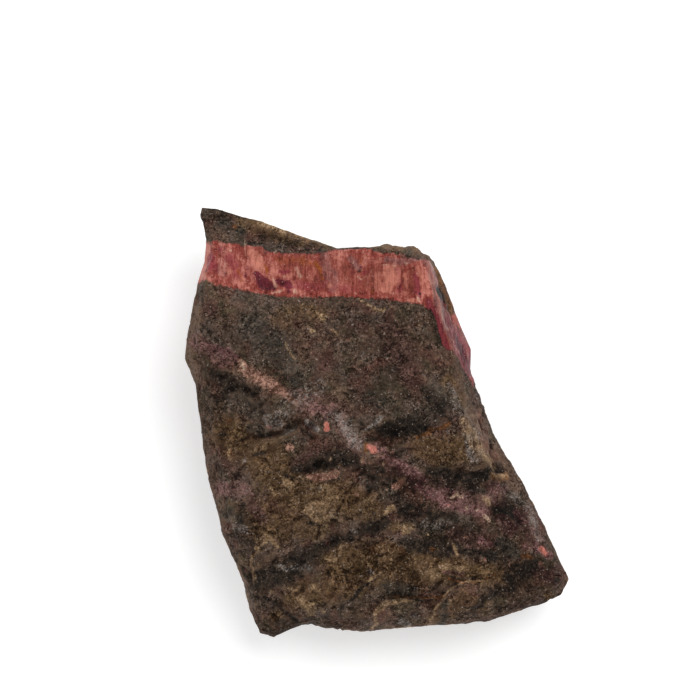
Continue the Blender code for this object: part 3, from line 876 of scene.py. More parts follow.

# Where the whole top is darker and where it is lighter, partly in its own tone and partly as painted light
# and shade.
# Darker: partly darker rock, partly painted shade on the slopes and in the recesses below the steps.
MARKS[Mark.DARK] = streaks(
    (0.6, (-12, -2.6, 1.2), (-11, -3.4, 1.2)), (1, (20.8, -15, 1.2), (22.2, -15.6, 1)),
    (0.35, (-5.8, -21.2, 1), (-4.2, -20.6, 1)), (0.35, (-15, -9.6, 1.4), (-8, -10.4, 1.6), (-4.4, -9.6, 1.6)),
    (0.45, (0.5, 13.5, 2), (2.2, 9, 2.8), (2, 6, 2.6)), (0.4, (-1.6, 0.6, 1.2), (-0.8, -1.6, 1)),
    (0.4, (2, -4.2, 1.4), (8.4, -3.8, 1.4)), (0.3, (5.6, 14, 1.6), (6.2, 9.5, 1.6)),
    (0.3, (-3.4, 2.6, 1.2), (-2.4, -0.4, 1.2)), (1.1, (0.2, -4.8, 1.2), (2.4, -5.4, 1.8)),
    (0.4, (6, 2.4, 1.6), (9.6, -1.4, 2.4), (12, -3.4, 2)), (0.35, (8, -6, 2), (12.4, -7.6, 2)),
    (1.2, (3, -10.4, 1.2), (4.6, -12.6, 2), (6.4, -12.4, 1.2)),
    (0.6, (9, -12, 1.2), (13.4, -12.2, 1.2), (16.4, -11.6, 1.4), (18.6, -9.8, 1.4)),
    (0.9, (16, -10, 1), (18, -10, 1.2)), (1.3, (19.6, -16.4, 1.4), (21.4, -17.6, 2)),
    (0.95, (21.6, -28, 1.6), (24.4, -26, 2.2), (27, -25.6, 1.8)), (0.9, (-3, -27.2, 1.6), (-0.6, -24, 1.8)),
    (1, (-1, -22, 1.4), (3.4, -24.6, 2), (5.6, -26.6, 1.6)), (0.6, (4, -29.8, 1), (7.2, -29.4, 1)),
    (0.6, (20, -31.6, 1), (27, -29.6, 1.2)),
    (0.7, (9.6, -20.6, 1.6), (14, -20.4, 1.8), (17, -18.8, 1.6), (19, -22.6, 1.6), (20.6, -25, 1.4)),
    (0.7, (-17.6, -35, 1.4), (-12, -34.4, 1), (-6.4, -34.4, 0.8)),
    (0.55, (-25.8, 3.2, 0.9), (-25.2, 0.2, 0.9), (-24.8, -3, 0.9)),
    (0.7, (-18.6, 28.8, 0.8), (-13.6, 27.4, 0.8)),
    (1.5, (9.8, 19, 0.8), (10.8, 16.4, 1), (12.2, 12.8, 1.2), (14.2, 8.4, 1.2)),
    (1.2, (8.4, 17, 0.7), (9.4, 14, 0.8), (10.6, 10.4, 0.8)), (0.55, (17.4, -12.6, 1.2), (19.2, -11.6, 1.2)),
    (0.5, (-20, -6.6, 0.9), (-18.4, -6.4, 0.9)), (0.5, (22.4, -24.4, 1), (23.6, -22.8, 1)),
    (0.6, (3.4, -16.6, 1.2), (6.4, -17.4, 1.4)), (0.6, (-19.6, -18.6, 1.2), (-19, -21, 1.2)),
    (0.5, (19.4, -24.8, 1.2), (20.8, -25, 1)), (0.35, (-13.6, -26.4, 1.2), (-11.8, -25.8, 1)),
    (0.5, (-25.6, -4.4, 0.9), (-24.8, -6, 0.9)), (0.5, (-27.8, 32.6, 1), (-25.6, 32, 1)),
    (0.35, (-9.4, -13, 1.4), (-8.8, -15, 1.2)), (0.35, (-15.2, -11.8, 1.2), (-13.6, -12.4, 1.2)),
    (0.4, (13, -31.6, 1), (14.6, -30.8, 1)), (0.35, (-21.4, -17.4, 1.6), (-20.4, -20.4, 1.6)),
    (0.3, (-7, -20.6, 1.6), (-4, -20, 1.4)), (0.3, (-26.4, 9.4, 1.6), (-23, 8, 1.4)),
    (0.4, (-9, 25, 0.9), (-8.8, 19, 0.9)), (0.2, (-4, 25.4, 1.2), (-3.6, 22, 1.2)),
    (0.4, (5.8, 22.5, 0.5), (6, 17, 0.5)), (0.35, (-17, 25.6, 1.2), (-14, 23, 1.2)),
    softness=0.9,
)

# Lighter: partly lighter rock, partly painted light on the lit rims and flanks.
MARKS[Mark.PALE] = streaks(
    (0.5, (-24.6, 18.4, 1.6), (-22.6, 16.2, 1.6)), (0.5, (-22.8, 4.6, 1.1), (-20.6, 3, 1)),
    (0.5, (-12.4, 6.2, 1.4), (-11.6, 6.8, 1.2)), (0.6, (-2.6, -3, 1), (-1.6, -3, 0.8)),
    (0.5, (-4.2, -11, 1.2), (-2.6, -13, 1.2)), (0.5, (-5.6, -18.6, 1), (-2, -19, 0.8)),
    (0.6, (-21.8, -13.6, 1.2), (-20.6, -14.4, 1.2)), (0.5, (8.4, 3.2, 1), (9.6, 2, 1)),
    (0.35, (-17.6, 1.2, 1.4), (-17.4, -1.4, 1.2)),
    (0.55, (-14.6, -0.6, 1.6), (-11, 0.4, 1.8), (-6.4, 1.2, 1.4)),
    (0.8, (-5.6, -2.8, 1.4), (-3.6, -5.8, 1.4), (-1, -8.6, 1.4), (1.4, -9, 1.2)),
    (0.4, (-19.6, -10.4, 1.6), (-20, -13, 1.4)), (0.35, (13, 4, 1.2), (15.4, -1, 1.2)),
    (1.1, (15.6, -0.6, 1.2), (17.6, -4.6, 1.4), (19.6, -8, 1.2)), (0.8, (16.8, -14.6, 1), (17.8, -18.6, 1.2)),
    (0.7, (-26.6, -4, 1), (-26.2, -8.4, 1)), (1, (-25.2, -12.6, 1.2), (-23.8, -17.6, 1.2)),
    (1.6, (-22.4, -24.6, 1), (-21.2, -30.6, 1.2)), (0.8, (20.6, -9.6, 0.9), (21.8, -12.4, 0.9)),
    (0.8, (-16.6, 25.6, 0.8), (-16.2, 20.8, 0.8)), (0.5, (-2.6, 24, 0.8), (-2.8, 19, 0.8)),
    (0.4, (-15.6, -30.4, 1.2), (-14.6, -29.6, 1)),
    (0.4, (9.6, -26.6, 1.2), (13.4, -27.6, 1.4), (16, -29, 1.2)), (0.5, (9.2, -31.6, 0.8), (8.8, -33.6, 0.8)),
    (0.5, (-0.4, -33.8, 1), (1.2, -33.8, 1)), (0.4, (3, -20, 1.2), (4.2, -20, 1.2)),
    (0.6, (-26.8, 27.6, 1.2), (-25.8, 27.4, 1.2)),
    (0.7, (-22.6, 31.6, 0.7), (-18, 30.4, 0.6), (-10, 27.6, 0.6), (-5, 27.2, 0.6)),
    (1.2, (0, 27, 0.8), (7, 25.6, 1.2), (9.2, 23.6, 0.9)),
    (1.1, (-29.4, 5.4, 1), (-30, 11, 1.2), (-28.8, 17, 1)), (0.9, (-27.8, 27, 1.2), (-27.8, 21, 1.4)),
    (0.5, (-19.8, 26.6, 1), (-19.4, 22.4, 1.2)), (0.5, (-23.4, 26, 0.9), (-23, 20.5, 0.9)),
    (0.4, (-14.5, 20.6, 1.2), (-12.5, 18.6, 1.2)), (0.4, (-6.6, 25, 0.9), (-6.2, 18.6, 0.9)),
    (0.5, (7.6, 23, 0.8), (8.4, 17, 0.8)), (0.6, (-19.6, -4.6, 0.9), (-16, -3.9, 0.9)),
    (0.5, (-10.4, -8.8, 0.9), (-9.4, -8.4, 0.9)), (0.5, (12.6, -10.9, 0.9), (14.6, -10.7, 0.9)),
    (0.5, (-18.4, 17, 1.1), (-17.2, 15.2, 1.1)),
    softness=0.9,
)

# Minerals of the wall rock.
MARKS[Mark.OLIVE] = streaks(
    (0.7, (-24, -4, 2.5), (-18, -8, 3), (-14, -13.5, 3.6), (-7, -14.5, 3.6), (-1, -15.5, 2.2)),
    (0.6, (-18, -18.5, 3), (-10, -19, 2)),
    (0.75, (-6, -24.5, 2.8), (2, -24, 2.6), (10, -25.4, 2.2), (19.5, -26.4, 1.6)),
    (0.65, (-13, -29.8, 1.8), (-6, -28, 2.6), (0, -27, 1.8), (7.5, -26, 2.4)),
    (0.7, (7.2, -6.8, 2), (10, -7.2, 2.4), (13.5, -6.6, 2.2)), (0.55, (11.2, 3.8, 1.4), (12.6, 1.4, 1.4)),
    (0.5, (-15.6, 13.4, 1.4), (-13.8, 15.4, 1.4), (-9, 14.6, 1.2)),
    (0.5, (9.5, -32.4, 1.6), (14.4, -30.4, 1.8), (17.5, -31.4, 1)),
    (0.6, (-22, 31, 1.2), (-14, 28.6, 1.4), (-8, 27, 0.8)), (0.5, (0, 27.2, 0.9), (6, 26.4, 0.9)),
    (0.6, (10.9, 16.8, 0.6), (12.2, 14.6, 0.5)),
    *dots(0.9, 0.8, (27.6, -28.8), (-16.2, -32.4), (2.6, -19.2), (4.6, -19.2)),
)

MARKS[Mark.SLATE] = streaks(
    (0.72, (-20.4, 13.6, 1.6), (-17.8, 11, 2.6), (-15, 7.2, 2), (-12.6, 4, 1.3)),
    (0.55, (8.6, 3.2, 1), (10.6, 0.8, 1.8), (8.4, -1.2, 1.4)),
    (0.5, (1, 8.2, 1), (3.6, 7.8, 1.2), (1.6, 4.9, 1)), (0.55, (5.8, -2.4, 0.9), (9.4, -2.2, 0.8)),
    (0.6, (-1.8, -12.2, 1), (1.6, -13.6, 1.4), (6.4, -18.4, 1.8), (12.4, -19, 1.6)),
    (0.7, (-24.4, -16.4, 0.8), (-22.2, -17.8, 0.9)), (0.7, (-20.2, -3.2, 0.8), (-17.4, -4.2, 0.8)),
    (0.75, (15, -13.2, 0.7), (16.8, -13.2, 0.6)), (0.75, (20.6, -12.4, 1.1), (22.8, -13.6, 1.1)),
    (0.85, (19.8, -21.2, 1.3), (22.2, -22.5, 1.2)), (0.65, (14.2, -22.6, 1), (18.8, -23.2, 1)),
    (0.7, (1.2, -28.4, 0.9), (5.4, -28.8, 0.9)), (0.75, (10.6, -30.8, 0.7), (10.4, -33.2, 0.7)),
    (0.75, (-18.6, -27, 1.3), (-14, -25.6, 1.6), (-11.4, -24.2, 1.4), 0.8),
    (0.55, (4.6, -22, 1.2), (10, -22.4, 1.4)),
    (0.55, (-24.6, 4.2, 1.2), (-21.8, 1.2, 2.2), (-18, -0.8, 2), (-15, -3, 1.6)),
    (0.5, (-2.6, 1.2, 1.6), (2.4, -0.8, 1.6)), *dots(0.8, 0.9, (-22, 29.6), (-24.4, 31.4), (5, 25.8)),
)

MARKS[Mark.PLUM] = streaks(
    (0.65, (-29.4, 10.4, 0.8), (-27.4, 9.4, 1), (-25.4, 7.6, 1)),
    (0.5, (-12, -0.2, 1.4), (-9.4, 1.6, 1), (-7.4, 0.2, 1), (-4.4, -2.4, 1.6)),
    (0.6, (1.6, 12.8, 1.6), (3.6, 8.8, 2.2), (5.4, 4.6, 2)),
    (0.7, (-12.6, -9.6, 1.2), (-8.2, -7.6, 1.6), (-4, -7.4, 1.6)),
    (0.75, (-19.6, -16.2, 0.9), (-18.2, -17.8, 0.9)),
    (0.8, (0.4, -8, 1.2), (4.6, -11.6, 1.4), (9.8, -13, 1.6), (17, -15.6, 1.6)),
    (0.85, (18.4, -12.2, 1.2), (19.6, -14.6, 1), (20.6, -18.4, 1.5), (23.6, -16.6, 1.4), (25.6, -20.4, 1.4)),
    (0.95, (25.8, -25, 1), (27.8, -26.2, 1.2), (29.2, -24.4, 1)), (0.6, (12.2, -20.2, 1.4), (16.4, -21, 1.4)),
    *dots(0.6, 1.4, (-8, 6.4), (-3.4, 12.6), (-26.6, 15.6), (-24.6, -12.6), (13.4, -2.6)),
)

MARKS[Mark.FROST] = streaks(
    (0.34, (-15, -0.6, 1.2), (-12.4, 1.2, 1.6), (-9, 3, 1.2)),
    (0.55, (-7, -1.6, 0.8), (-5.6, -2.8, 1.1), (-4.4, -4.6, 1.3), (-3.2, -6.4, 0.8)),
    (0.55, (-17.6, -1.8, 0.8), (-15.6, -2.8, 0.9)), (0.85, (-14.5, -4.2, 0.5), (-13.3, -3.6, 0.5)),
    (0.75, (-11.4, -2.8, 0.6), (-9.6, -3.8, 0.5)),
    (0.7, (-2, -4.2, 0.25), (-0.8, -3.2, 0.3), (0.8, -1.9, 0.3), 0.4),
    (0.6, (-22.6, -18.9, 0.6), (-20.9, -19.4, 0.5)), (0.75, (14.1, -4.4, 0.6), (15.6, -5.2, 0.6)),
    (0.55, (14.6, -6.2, 0.8), (15.2, -7.8, 0.8), (17, -6.6, 0.7)), (0.4, (7.6, -18.5, 0.7), (11, -18.6, 0.7)),
    (0.7, (21.8, -12.5, 0.5), (22.6, -13.8, 0.6)),
    (0.55, (24.3, -14.4, 0.7), (25.2, -17.4, 0.8), (26, -20.2, 0.6)),
    (0.5, (-13.6, -25.4, 0.6), (-10.4, -25.4, 0.5)), (1, (-15.4, -25.1, 0.35), (-14.7, -25.7, 0.35), 0.4),
    (0.8, (3.9, -33.4, 0.5), (5.1, -34, 0.5)), (0.45, (11.4, 3.2, 0.7), (13.8, -1.6, 0.9), (16, -4, 0.9)),
    *dots(0.75, 0.16, (-3.4, 11.7), (-3.8, 13), (-1.5, 10.3), (-2.2, 8.1), (2.5, 5.9), (2.5, 1.8),
        (-10.8, 4.8), (-4, 9.2), (-7.8, -0.1), (-25, -11.8), (-21, -13.6), (-16.1, -24.5), (-0.6, -16.8),
        (-2.8, -16.5), (-7.2, -17.5), (9, -4.4), (11.2, -4), (-0.8, -21.9), (-28.3, 6.8), (-27.2, 6.8),
        (-26.5, 6.7), (-28.8, 12.2), (3.9, -19.1), (-2.5, -11.4), (-26.1, 30.9), (-21.5, 30.2),
        (28.9, -25.4)),
    *dots(0.6, 0.5, (-3.6, -19.6), (-1.2, -26), (6.2, -32.8), (-9.4, -13), (-21.2, -8.6)),
)

# Black mineral; the streaks along the feet of the steps and in the creases are partly painted shadow.
MARKS[Mark.BLACK] = streaks(
    (0.8, (-19.8, -27.5, 1), (-17.7, -27.2, 1.3), (-15.5, -26.7, 1.3), (-13.9, -25.4, 1.6),
        (-11.9, -24.2, 1.8), (-9.9, -23, 1.2), (-7.9, -21.6, 0.8), (-5.9, -20.8, 0.8), (-3.5, -20, 0.9)),
    (0.95, (-2.2, -19.2, 0.8), (-0.2, -19.2, 1.1), (1.6, -18.6, 0.9)),
    (0.8, (-26, 5.4, 0.8), (-22.8, 3.4, 1.2), (-19.6, 2.2, 0.9)),
    (0.85, (-13.2, -10.2, 0.6), (-11.2, -9.8, 0.9), (-8.6, -8.6, 1.3), (-5.6, -8.3, 1.5), (-3.6, -9.2, 1.2)),
    (0.9, (-3, -9.8, 0.6), (0.6, -10, 0.6)), (0.72, (-2.2, -10.9, 0.8), (0.4, -11.6, 0.9), (2.4, -12, 0.8)),
    (0.85, (-4.3, -2.8, 0.6), (-2.3, -2.9, 0.6)), (0.7, (-2.3, -5.6, 0.4), (-0.6, -5.7, 0.4)),
    (0.95, (1.2, -4, 1.1), (4.4, -3.6, 1.6), (7.4, -3.3, 1.1)),
    (0.7, (7.4, 2.2, 0.9), (9, 0.8, 1.2), (9.8, -0.6, 1)),
    (0.95, (8.2, -10.4, 0.6), (12, -10.8, 0.9), (15, -11, 0.9), (18, -10.3, 0.9), (20, -9, 0.8)),
    (0.8, (18.9, -9.4, 0.7), (19.8, -7.8, 0.7)),
    (0.55, (7.8, -12, 0.8), (11.4, -12.2, 1), (15.2, -12.2, 0.9)),
    (1, (6.9, -12.1, 0.3), (8.5, -13.3, 0.3), 0.3),
    (0.95, (19.3, -15.6, 0.8), (21.4, -15.7, 1), (23.2, -16.4, 0.7)),
    (0.7, (4.8, -16.2, 1), (8, -16.8, 1.1), (10.6, -17.2, 1)), (0.95, (10.4, -17.4, 0.6), (11.9, -17.6, 0.6)),
    (0.78, (4.6, -21.4, 0.9), (8, -22.2, 1.4), (11, -22.6, 1.3), (14, -22.6, 0.9)),
    (0.5, (14.4, -23, 0.9), (18.6, -23.4, 0.9)),
    (0.85, (20.8, -26.6, 1), (23.2, -25.4, 1.5), (25.2, -24.3, 0.9)),
    (0.75, (21.6, -27.9, 0.7), (18.8, -29.3, 0.8), (16.8, -30.4, 0.8), (15.3, -31.8, 0.6)),
    (0.6, (-22.4, -20, 0.8), (-20.8, -21.4, 0.9)), (1, (10, 19.4, 0.5), (10.3, 18.2, 0.5), 0.4),
    *dots(0.85, 0.5, (-25.4, 0.9), (-24.2, 1.8), (-21.4, -15.8), (-24.8, -4.2), (-23.4, -16.8), (-0.8, -8.3),
        (11.8, -13.5), (15.8, -12.3), (28.9, -26.6), (24.8, -6.6)),
    *dots(0.8, 0.22, (5.9, 22.7), (6.8, 17.8), (-2.9, 22.2)),
    *dots(0.6, 0.7, (-23.8, 30.2), (-18.6, 28.4), (-11, 26.6), (-1.6, 14), (4.4, 1.6), (8.2, 9.4)),
)

# Cracks.
MARKS[Mark.BLACK] += streaks(
    (1, (-29, 14, 0.16), (-28, 13, 0.2), (-26.7, 12, 0.16)), (1, (-12.5, -3.8, 0.16), (-10.3, -5, 0.2)),
    (0.7, (-20.4, -9.8, 0.2), (-22, -10.7, 0.4), (-23.8, -11.3, 0.3)),
    (1, (-15, -11.2, 0.2), (-13.3, -11.7, 0.2)),
    (1, (-18.9, -28.9, 0.2), (-17.1, -30.1, 0.3), (-15.5, -31.1, 0.3), (-13.9, -32.4, 0.25),
        (-12.7, -33.3, 0.2)),
    (1, (-21.9, -24.4, 0.3), (-20.7, -26.7, 0.3)),
    (1, (-6.2, -31.8, 0.2), (-4.6, -30.8, 0.25), (-2.1, -28.2, 0.25), (0.8, -26.4, 0.2)),
    (1, (2.8, -29.6, 0.2), (5.8, -29.6, 0.2)), (1, (5, -30.4, 0.2), (7.2, -30.4, 0.25), (8.4, -29.6, 0.2)),
    (1, (10.4, -29.4, 0.2), (11.8, -28.4, 0.25), (13.2, -27.2, 0.2)),
    (1, (11.2, -26.6, 0.2), (14.7, -27.2, 0.2), (16.8, -27.2, 0.2)),
    (0.9, (-19.8, -8, 0.2), (-17.9, -7.7, 0.2)),
    (0.9, (-11, -18.6, 0.25), (-8.4, -18.8, 0.25), (-7, -17.6, 0.2)),
    (0.6, (-10.8, -12.1, 0.2), (-8, -12, 0.2), (-6, -11.5, 0.2)),
)

MARKS[Mark.ROSE] = streaks(
    (0.85, (-26.8, 9.9, 0.5), (-25, 8.6, 0.8), (-23.5, 8.2, 0.7), (-22.4, 7.4, 0.5)),
    (0.45, (-29.3, 11.2, 1), (-27, 9, 1.1), (-24, 7.4, 1.2)),
    (0.34, (-14.6, 1.8, 1.2), (-11, 0.4, 1.4), (-7.6, -0.8, 1.2)),
    (0.55, (-9.8, -0.6, 0.9), (-6.4, -2, 1.1), (-5.2, -4.2, 1.1), (-3.4, -6, 0.9)),
    (0.6, (0.2, -7, 0.7), (1.8, -8.4, 0.8)),
    (0.95, (2, -8.5, 0.6), (3.6, -9.6, 1), (5.4, -10.7, 0.8), (7.4, -11.6, 0.5)),
    (1, (6.2, -12.7, 0.6), (8.2, -13.8, 1), (10.6, -14.6, 0.9)),
    (0.85, (10.6, -15.6, 0.7), (13.6, -16, 0.9), (17, -16.3, 0.8)),
    (0.6, (10.8, -13.4, 0.6), (14, -14.8, 0.7)), (0.5, (18, -13.8, 1), (20.2, -12.2, 1)),
    (0.4, (19.6, -17.2, 0.9), (21.4, -18.8, 1)), (0.7, (22.6, -15.8, 0.7), (23.6, -17, 0.7)),
    (0.5, (24.4, -14.6, 0.7), (25.2, -17.5, 0.8), (25.9, -20, 0.7)),
    (0.95, (16.6, -20.7, 0.6), (18, -21.4, 0.5)), (1, (25.6, -21.5, 0.7), (27.6, -22.4, 0.7)),
    (0.6, (23.9, -21.3, 0.4), (25.6, -21.8, 0.4)),
    (0.4, (-22, -11.8, 0.8), (-20.4, -14.4, 0.9), (-24.8, -12.6, 1.2)),
    (0.5, (10.6, -25.8, 0.4), (13.2, -26, 0.4)),
    *dots(0.8, 0.4, (-8, -21.4), (-14.1, -6.7), (-17.2, -3), (14.6, -22)),
)

MARKS[Mark.SALMON] = streaks(
    (0.9, (-21.9, 7.2, 0.5), (-21.3, 5.9, 0.8), (-18.5, 4.1, 1), (-16, 2.7, 0.9), (-14, 1.2, 0.6),
        (-13, 0.4, 0.4), 0.6),
    (0.9, (2.7, -12.7, 0.45), (3.8, -12, 0.5), 0.35),
    (1, (-10.9, -11.2, 0.4), (-10, -11.4, 0.7), (-8, -11.1, 0.6), (-6.4, -10.8, 0.5), 0.3),
    *dots(1, 0.6, (-14.1, -6.7)),
    *dots(0.8, 0.3, (-3.2, -13.9), (2.3, -7.4), (17, -23.8), (14.2, -20.4), (26.2, -24.1)),
)

MARKS[Mark.RUST] = streaks(
    (1, (6.1, -5, 0.25), (7.8, -4.5, 0.3), (8.3, -3.7, 0.25), (10.6, -3.2, 0.3), (11.4, -2.7, 0.3)),
    (0.9, (-1.9, -6.4, 0.2), (-1.8, -7.5, 0.2)), (0.9, (18.6, -10.6, 0.6), (20.8, -9.8, 0.6)),
    (0.6, (-0.1, -22.4, 0.8), (3.6, -23, 0.8)), (0.7, (23.4, -22.9, 0.4), (24.6, -23.1, 0.4)),
    (0.7, (2.8, -29.9, 0.2), (5.6, -29.9, 0.2), (8.6, -29.9, 0.2), (10.2, -29.7, 0.2)),
    (0.7, (11.4, -26.9, 0.2), (14.7, -27.5, 0.2), (16.8, -27.4, 0.2), (18.6, -26.4, 0.2)),
    (0.8, (9.8, 23.4, 0.8), (11.3, 20.6, 1), (12.3, 17.6, 1), (13, 15.2, 0.7)),
    *dots(0.7, 0.45, (-23.5, -2), (-23.4, -7.2), (-18.6, -6.8), (8.6, -22.5), (-23.2, 30.4), (11.2, 21.4)),
)

# Tan flakes, and the pale broken edges of raised flakes, which are partly a painted highlight.
MARKS[Mark.TAN] = streaks(
    (0.85, (-9.6, 14.8, 0.25), (-8.3, 14.2, 0.35)), (0.8, (-11, 12.7, 0.2), (-10.4, 11.6, 0.3)),
    (0.8, (-3, 17, 0.15), (-1, 15.7, 0.2), (0.8, 15.2, 0.35)), (0.7, (-7, 12, 0.2), (-6.3, 11.5, 0.25)),
    (0.6, (-14.7, 9.8, 0.15), (-13.2, 7.3, 0.15)), (0.6, (-23.5, -6.3, 0.25), (-23.5, -8.2, 0.3)),
    (0.7, (-19.9, -7.1, 0.3), (-17.9, -6.8, 0.3)), (0.8, (-17, -13.2, 0.3), (-16.2, -14.3, 0.3)),
    (0.9, (-14.7, -12.1, 0.4), (-13.7, -12.8, 0.4), 0.4), (0.65, (18.6, -10.2, 0.5), (20.8, -9.7, 0.5)),
    (0.65, (17.2, -14.2, 0.4), (17.8, -14.7, 0.4)), (0.42, (2.8, -18.6, 0.6), (5.2, -19.4, 0.8)),
    (0.9, (1.2, -16.8, 0.35), (2.5, -16, 0.45), 0.4), (0.9, (-5.9, -21.9, 0.2), (-6, -23.7, 0.25), 0.4),
    (0.9, (-8.1, -24.2, 0.2), (-6.5, -24.1, 0.25), 0.4), (0.85, (-10.2, -28.4, 0.5), (-9.6, -28.6, 0.5), 0.4),
    (0.8, (-14.2, -28.3, 0.2), (-13.2, -28.6, 0.25), (-12.4, -29, 0.2)),
    (0.6, (-12.2, -30, 0.7), (-10.4, -31.8, 0.7)), (0.9, (12.3, -22, 0.2), (12.8, -23.4, 0.25)),
    (0.6, (0.4, -22.4, 0.7), (3.2, -23.2, 0.7)), (0.9, (0.6, -24.3, 0.4), (2.2, -24.2, 0.4), 0.35),
    (0.8, (1, -25.1, 0.3), (1.4, -25.5, 0.25), 0.35), (0.9, (10.2, -25, 0.4), (13, -25.4, 0.45), 0.4),
    (0.5, (5.6, -25, 0.9), (9, -26.4, 1)), (0.75, (-20, -23.8, 0.25), (-18.2, -22.7, 0.25)),
    (0.6, (-2, -27.6, 0.2), (-0.6, -26.8, 0.4), (0.8, -26.4, 0.25)),
    (0.6, (-0.2, -34, 0.2), (-0.4, -32.6, 0.2), (1.6, -31.2, 0.25), (4.6, -30.6, 0.2), 0.4),
    (0.6, (-20.3, -24.2, 0.3), (-19.6, -26.6, 0.3)),
    (0.7, (10, 17.8, 0.25), (11.4, 15.4, 0.3), (12.6, 14, 0.25)),
    (0.55, (13.6, -2.4, 0.8), (16.4, -6.4, 1.2), (18.4, -8.4, 0.8)),
    (0.95, (-10.6, -17.6, 0.15), (-11.4, -16.4, 0.25), (-10.8, -15.5, 0.3), (-9.4, -15.2, 0.25),
        (-8, -15.6, 0.15), 0.3),
    (0.5, (-10, -16.4, 1), (-8.2, -16.8, 1.2)),
    (0.95, (-19.4, -22.4, 0.2), (-18.4, -21.4, 0.25), (-16.8, -21, 0.3), (-15.7, -22.2, 0.2), 0.3),
    (0.8, (-15.4, -11, 0.15), (-14.2, -12.2, 0.3), 0.3),
    (0.42, (-9.8, -12.8, 1.2), (-7.6, -14.2, 1.4), (-8.4, -17.4, 1.8)),
    *dots(0.8, 0.22, (-15.2, -13.8), (-18.4, -18.5), (-7.6, -8.6), (-6.1, -9.6), (-9.6, -13.2),
        (-11.7, -21.6), (-16.7, -29.1), (-8.4, -32), (-15.7, -32.2), (3.5, -5.7), (-2.5, -8.6), (0, -8.2),
        (0.9, -9.2), (0.2, -10.7), (9.7, -22.3), (8, -20.4), (9.1, -24.2), (11.4, -30.4), (26.5, -27.2),
        (4.5, 24), (17.2, -6.3), (-11.8, 16.2), (6.8, 12.6)),
)

# Minerals of the vein.
MARKS[Mark.EMBER] = streaks(
    (0.45, (-13, 23, 2.6), (-8, 22, 3), (-3, 22, 3.2), (4, 20.5, 3.2), 0.4),
    (0.85, (-5.2, 23.2, 0.6), (-4.8, 20.2, 0.6), 0.4), (0.8, (-0.6, 22, 0.7), (-0.6, 19.2, 1.2), 0.3),
    (0.7, (-19.8, 26.2, 0.8), (-18.4, 25.2, 0.5)), (0.7, (5.4, 18.4, 0.6), (5.8, 22, 0.4)),
)

MARKS[Mark.CORAL] = streaks(
    (0.85, (-20.1, 25.4, 0.6), (-19.6, 24.4, 1.1), (-19, 23.4, 0.9), (-18.6, 22.8, 0.6), 0.3),
    (0.85, (1.4, 22.5, 0.6), (2.4, 22.5, 0.6), 0.3),
    (0.85, (1.9, 21.4, 1.2), (1.9, 19.8, 1.1), (1.4, 18.8, 0.8), 0.25),
    (0.5, (-0.2, 21.8, 0.5), (0.2, 18.6, 0.6), 0.4), (0.6, (4.5, 21.4, 0.5), (4.9, 19.6, 0.45), 0.4),
    (0.6, (6.5, 23, 0.35), (7.2, 21, 0.4), (7.9, 18.6, 0.4), 0.4),
    (0.75, (5.2, 17, 0.4), (6.2, 16.6, 0.4), 0.4), (0.5, (-12.8, 22.2, 0.5), (-12.4, 21.2, 0.5), 0.5),
    *dots(0.6, 0.5, (-23.8, 22), (-16.6, 23.2), (-7.6, 19.4), (-13.6, 20), (-6.4, 24.6)),
)

MARKS[Mark.CRIMSON] = streaks(
    (0.85, (-26.9, 24.8, 0.7), (-26.3, 22.8, 0.8)), (0.6, (-23.6, 24.4, 0.9), (-22.6, 21.6, 0.9)),
    (0.9, (-15.5, 22.2, 0.3), (-14.3, 22, 0.35), 0.4),
    (0.9, (6.1, 21.4, 0.2), (6.4, 19.2, 0.45), (6.8, 17.4, 0.3), 0.4),
    (0.6, (3.5, 22.6, 0.25), (3.6, 18.4, 0.35), 0.4),
    (0.5, (-14.6, 20, 0.8), (-10.4, 19.4, 0.8), (-3.6, 18.8, 0.7)),
    (1.5, (11.4, 15, 0.6), (12.8, 12, 1.2), (14.2, 9.6, 1.8), (15.2, 6.6, 1.8), 0.4),
    (0.95, (8.4, 17, 0.5), (9.4, 14, 0.6), (10.6, 10.4, 0.6), (11.8, 8.4, 0.5), 0.5),
    *dots(0.9, 0.3, (-27.6, 22.4), (-25.4, 22), (-2.2, 21.8), (-25.2, 26), (-7.8, 18.2)),
)

MARKS[Mark.MAUVE] = streaks(
    (0.3, (-24.9, 27.2, 0.6), (-24.6, 22, 0.8), 0.5),
    (0.45, (-8.6, 25, 0.8), (-7.4, 21, 1), (-7, 18.8, 0.8), 0.5),
    (0.65, (1.6, 24.4, 0.5), (3.8, 24, 0.6), (7, 24.4, 0.5), 0.5),
    (0.55, (-4, 24.2, 0.7), (-3, 22.8, 0.6), 0.5),
    (0.85, (8.4, 23.4, 0.6), (9.2, 20, 0.7), (10, 16.4, 0.7), (11, 12.8, 0.6), 0.6),
    (0.8, (4.6, 24.8, 0.6), (7.4, 24.6, 0.8), (8.4, 22.8, 0.6), 0.6),
    (0.45, (13.4, 12.8, 0.4), (14.4, 10.8, 0.4), 0.5),
)

MARKS[Mark.MAROON] = streaks(
    (0.42, (-20.8, 22.6, 0.5), (-20.2, 21, 0.9), 0.5),
    (0.6, (12.6, 12.2, 0.5), (14, 9.4, 0.7), (14.8, 6.6, 0.6), 0.6),
    (1, (-19.4, 21.9, 0.3), (-18.7, 20.8, 0.8), (-18, 19.8, 1), (-16.6, 19.1, 0.4), 0.3),
    (0.95, (-15.8, 20.3, 0.5), (-14.4, 19.6, 0.7), 0.35),
    *dots(0.9, 0.3, (-21.5, 26.9), (-21.2, 21.2), (-14.2, 18.6), (-18.2, 18.7)),
    *dots(0.6, 0.3, (-3.3, 24), (-2.6, 22.9), (-4.2, 21.9), (-2.8, 20.4), (-9.1, 21), (6.2, 18.2)),
)

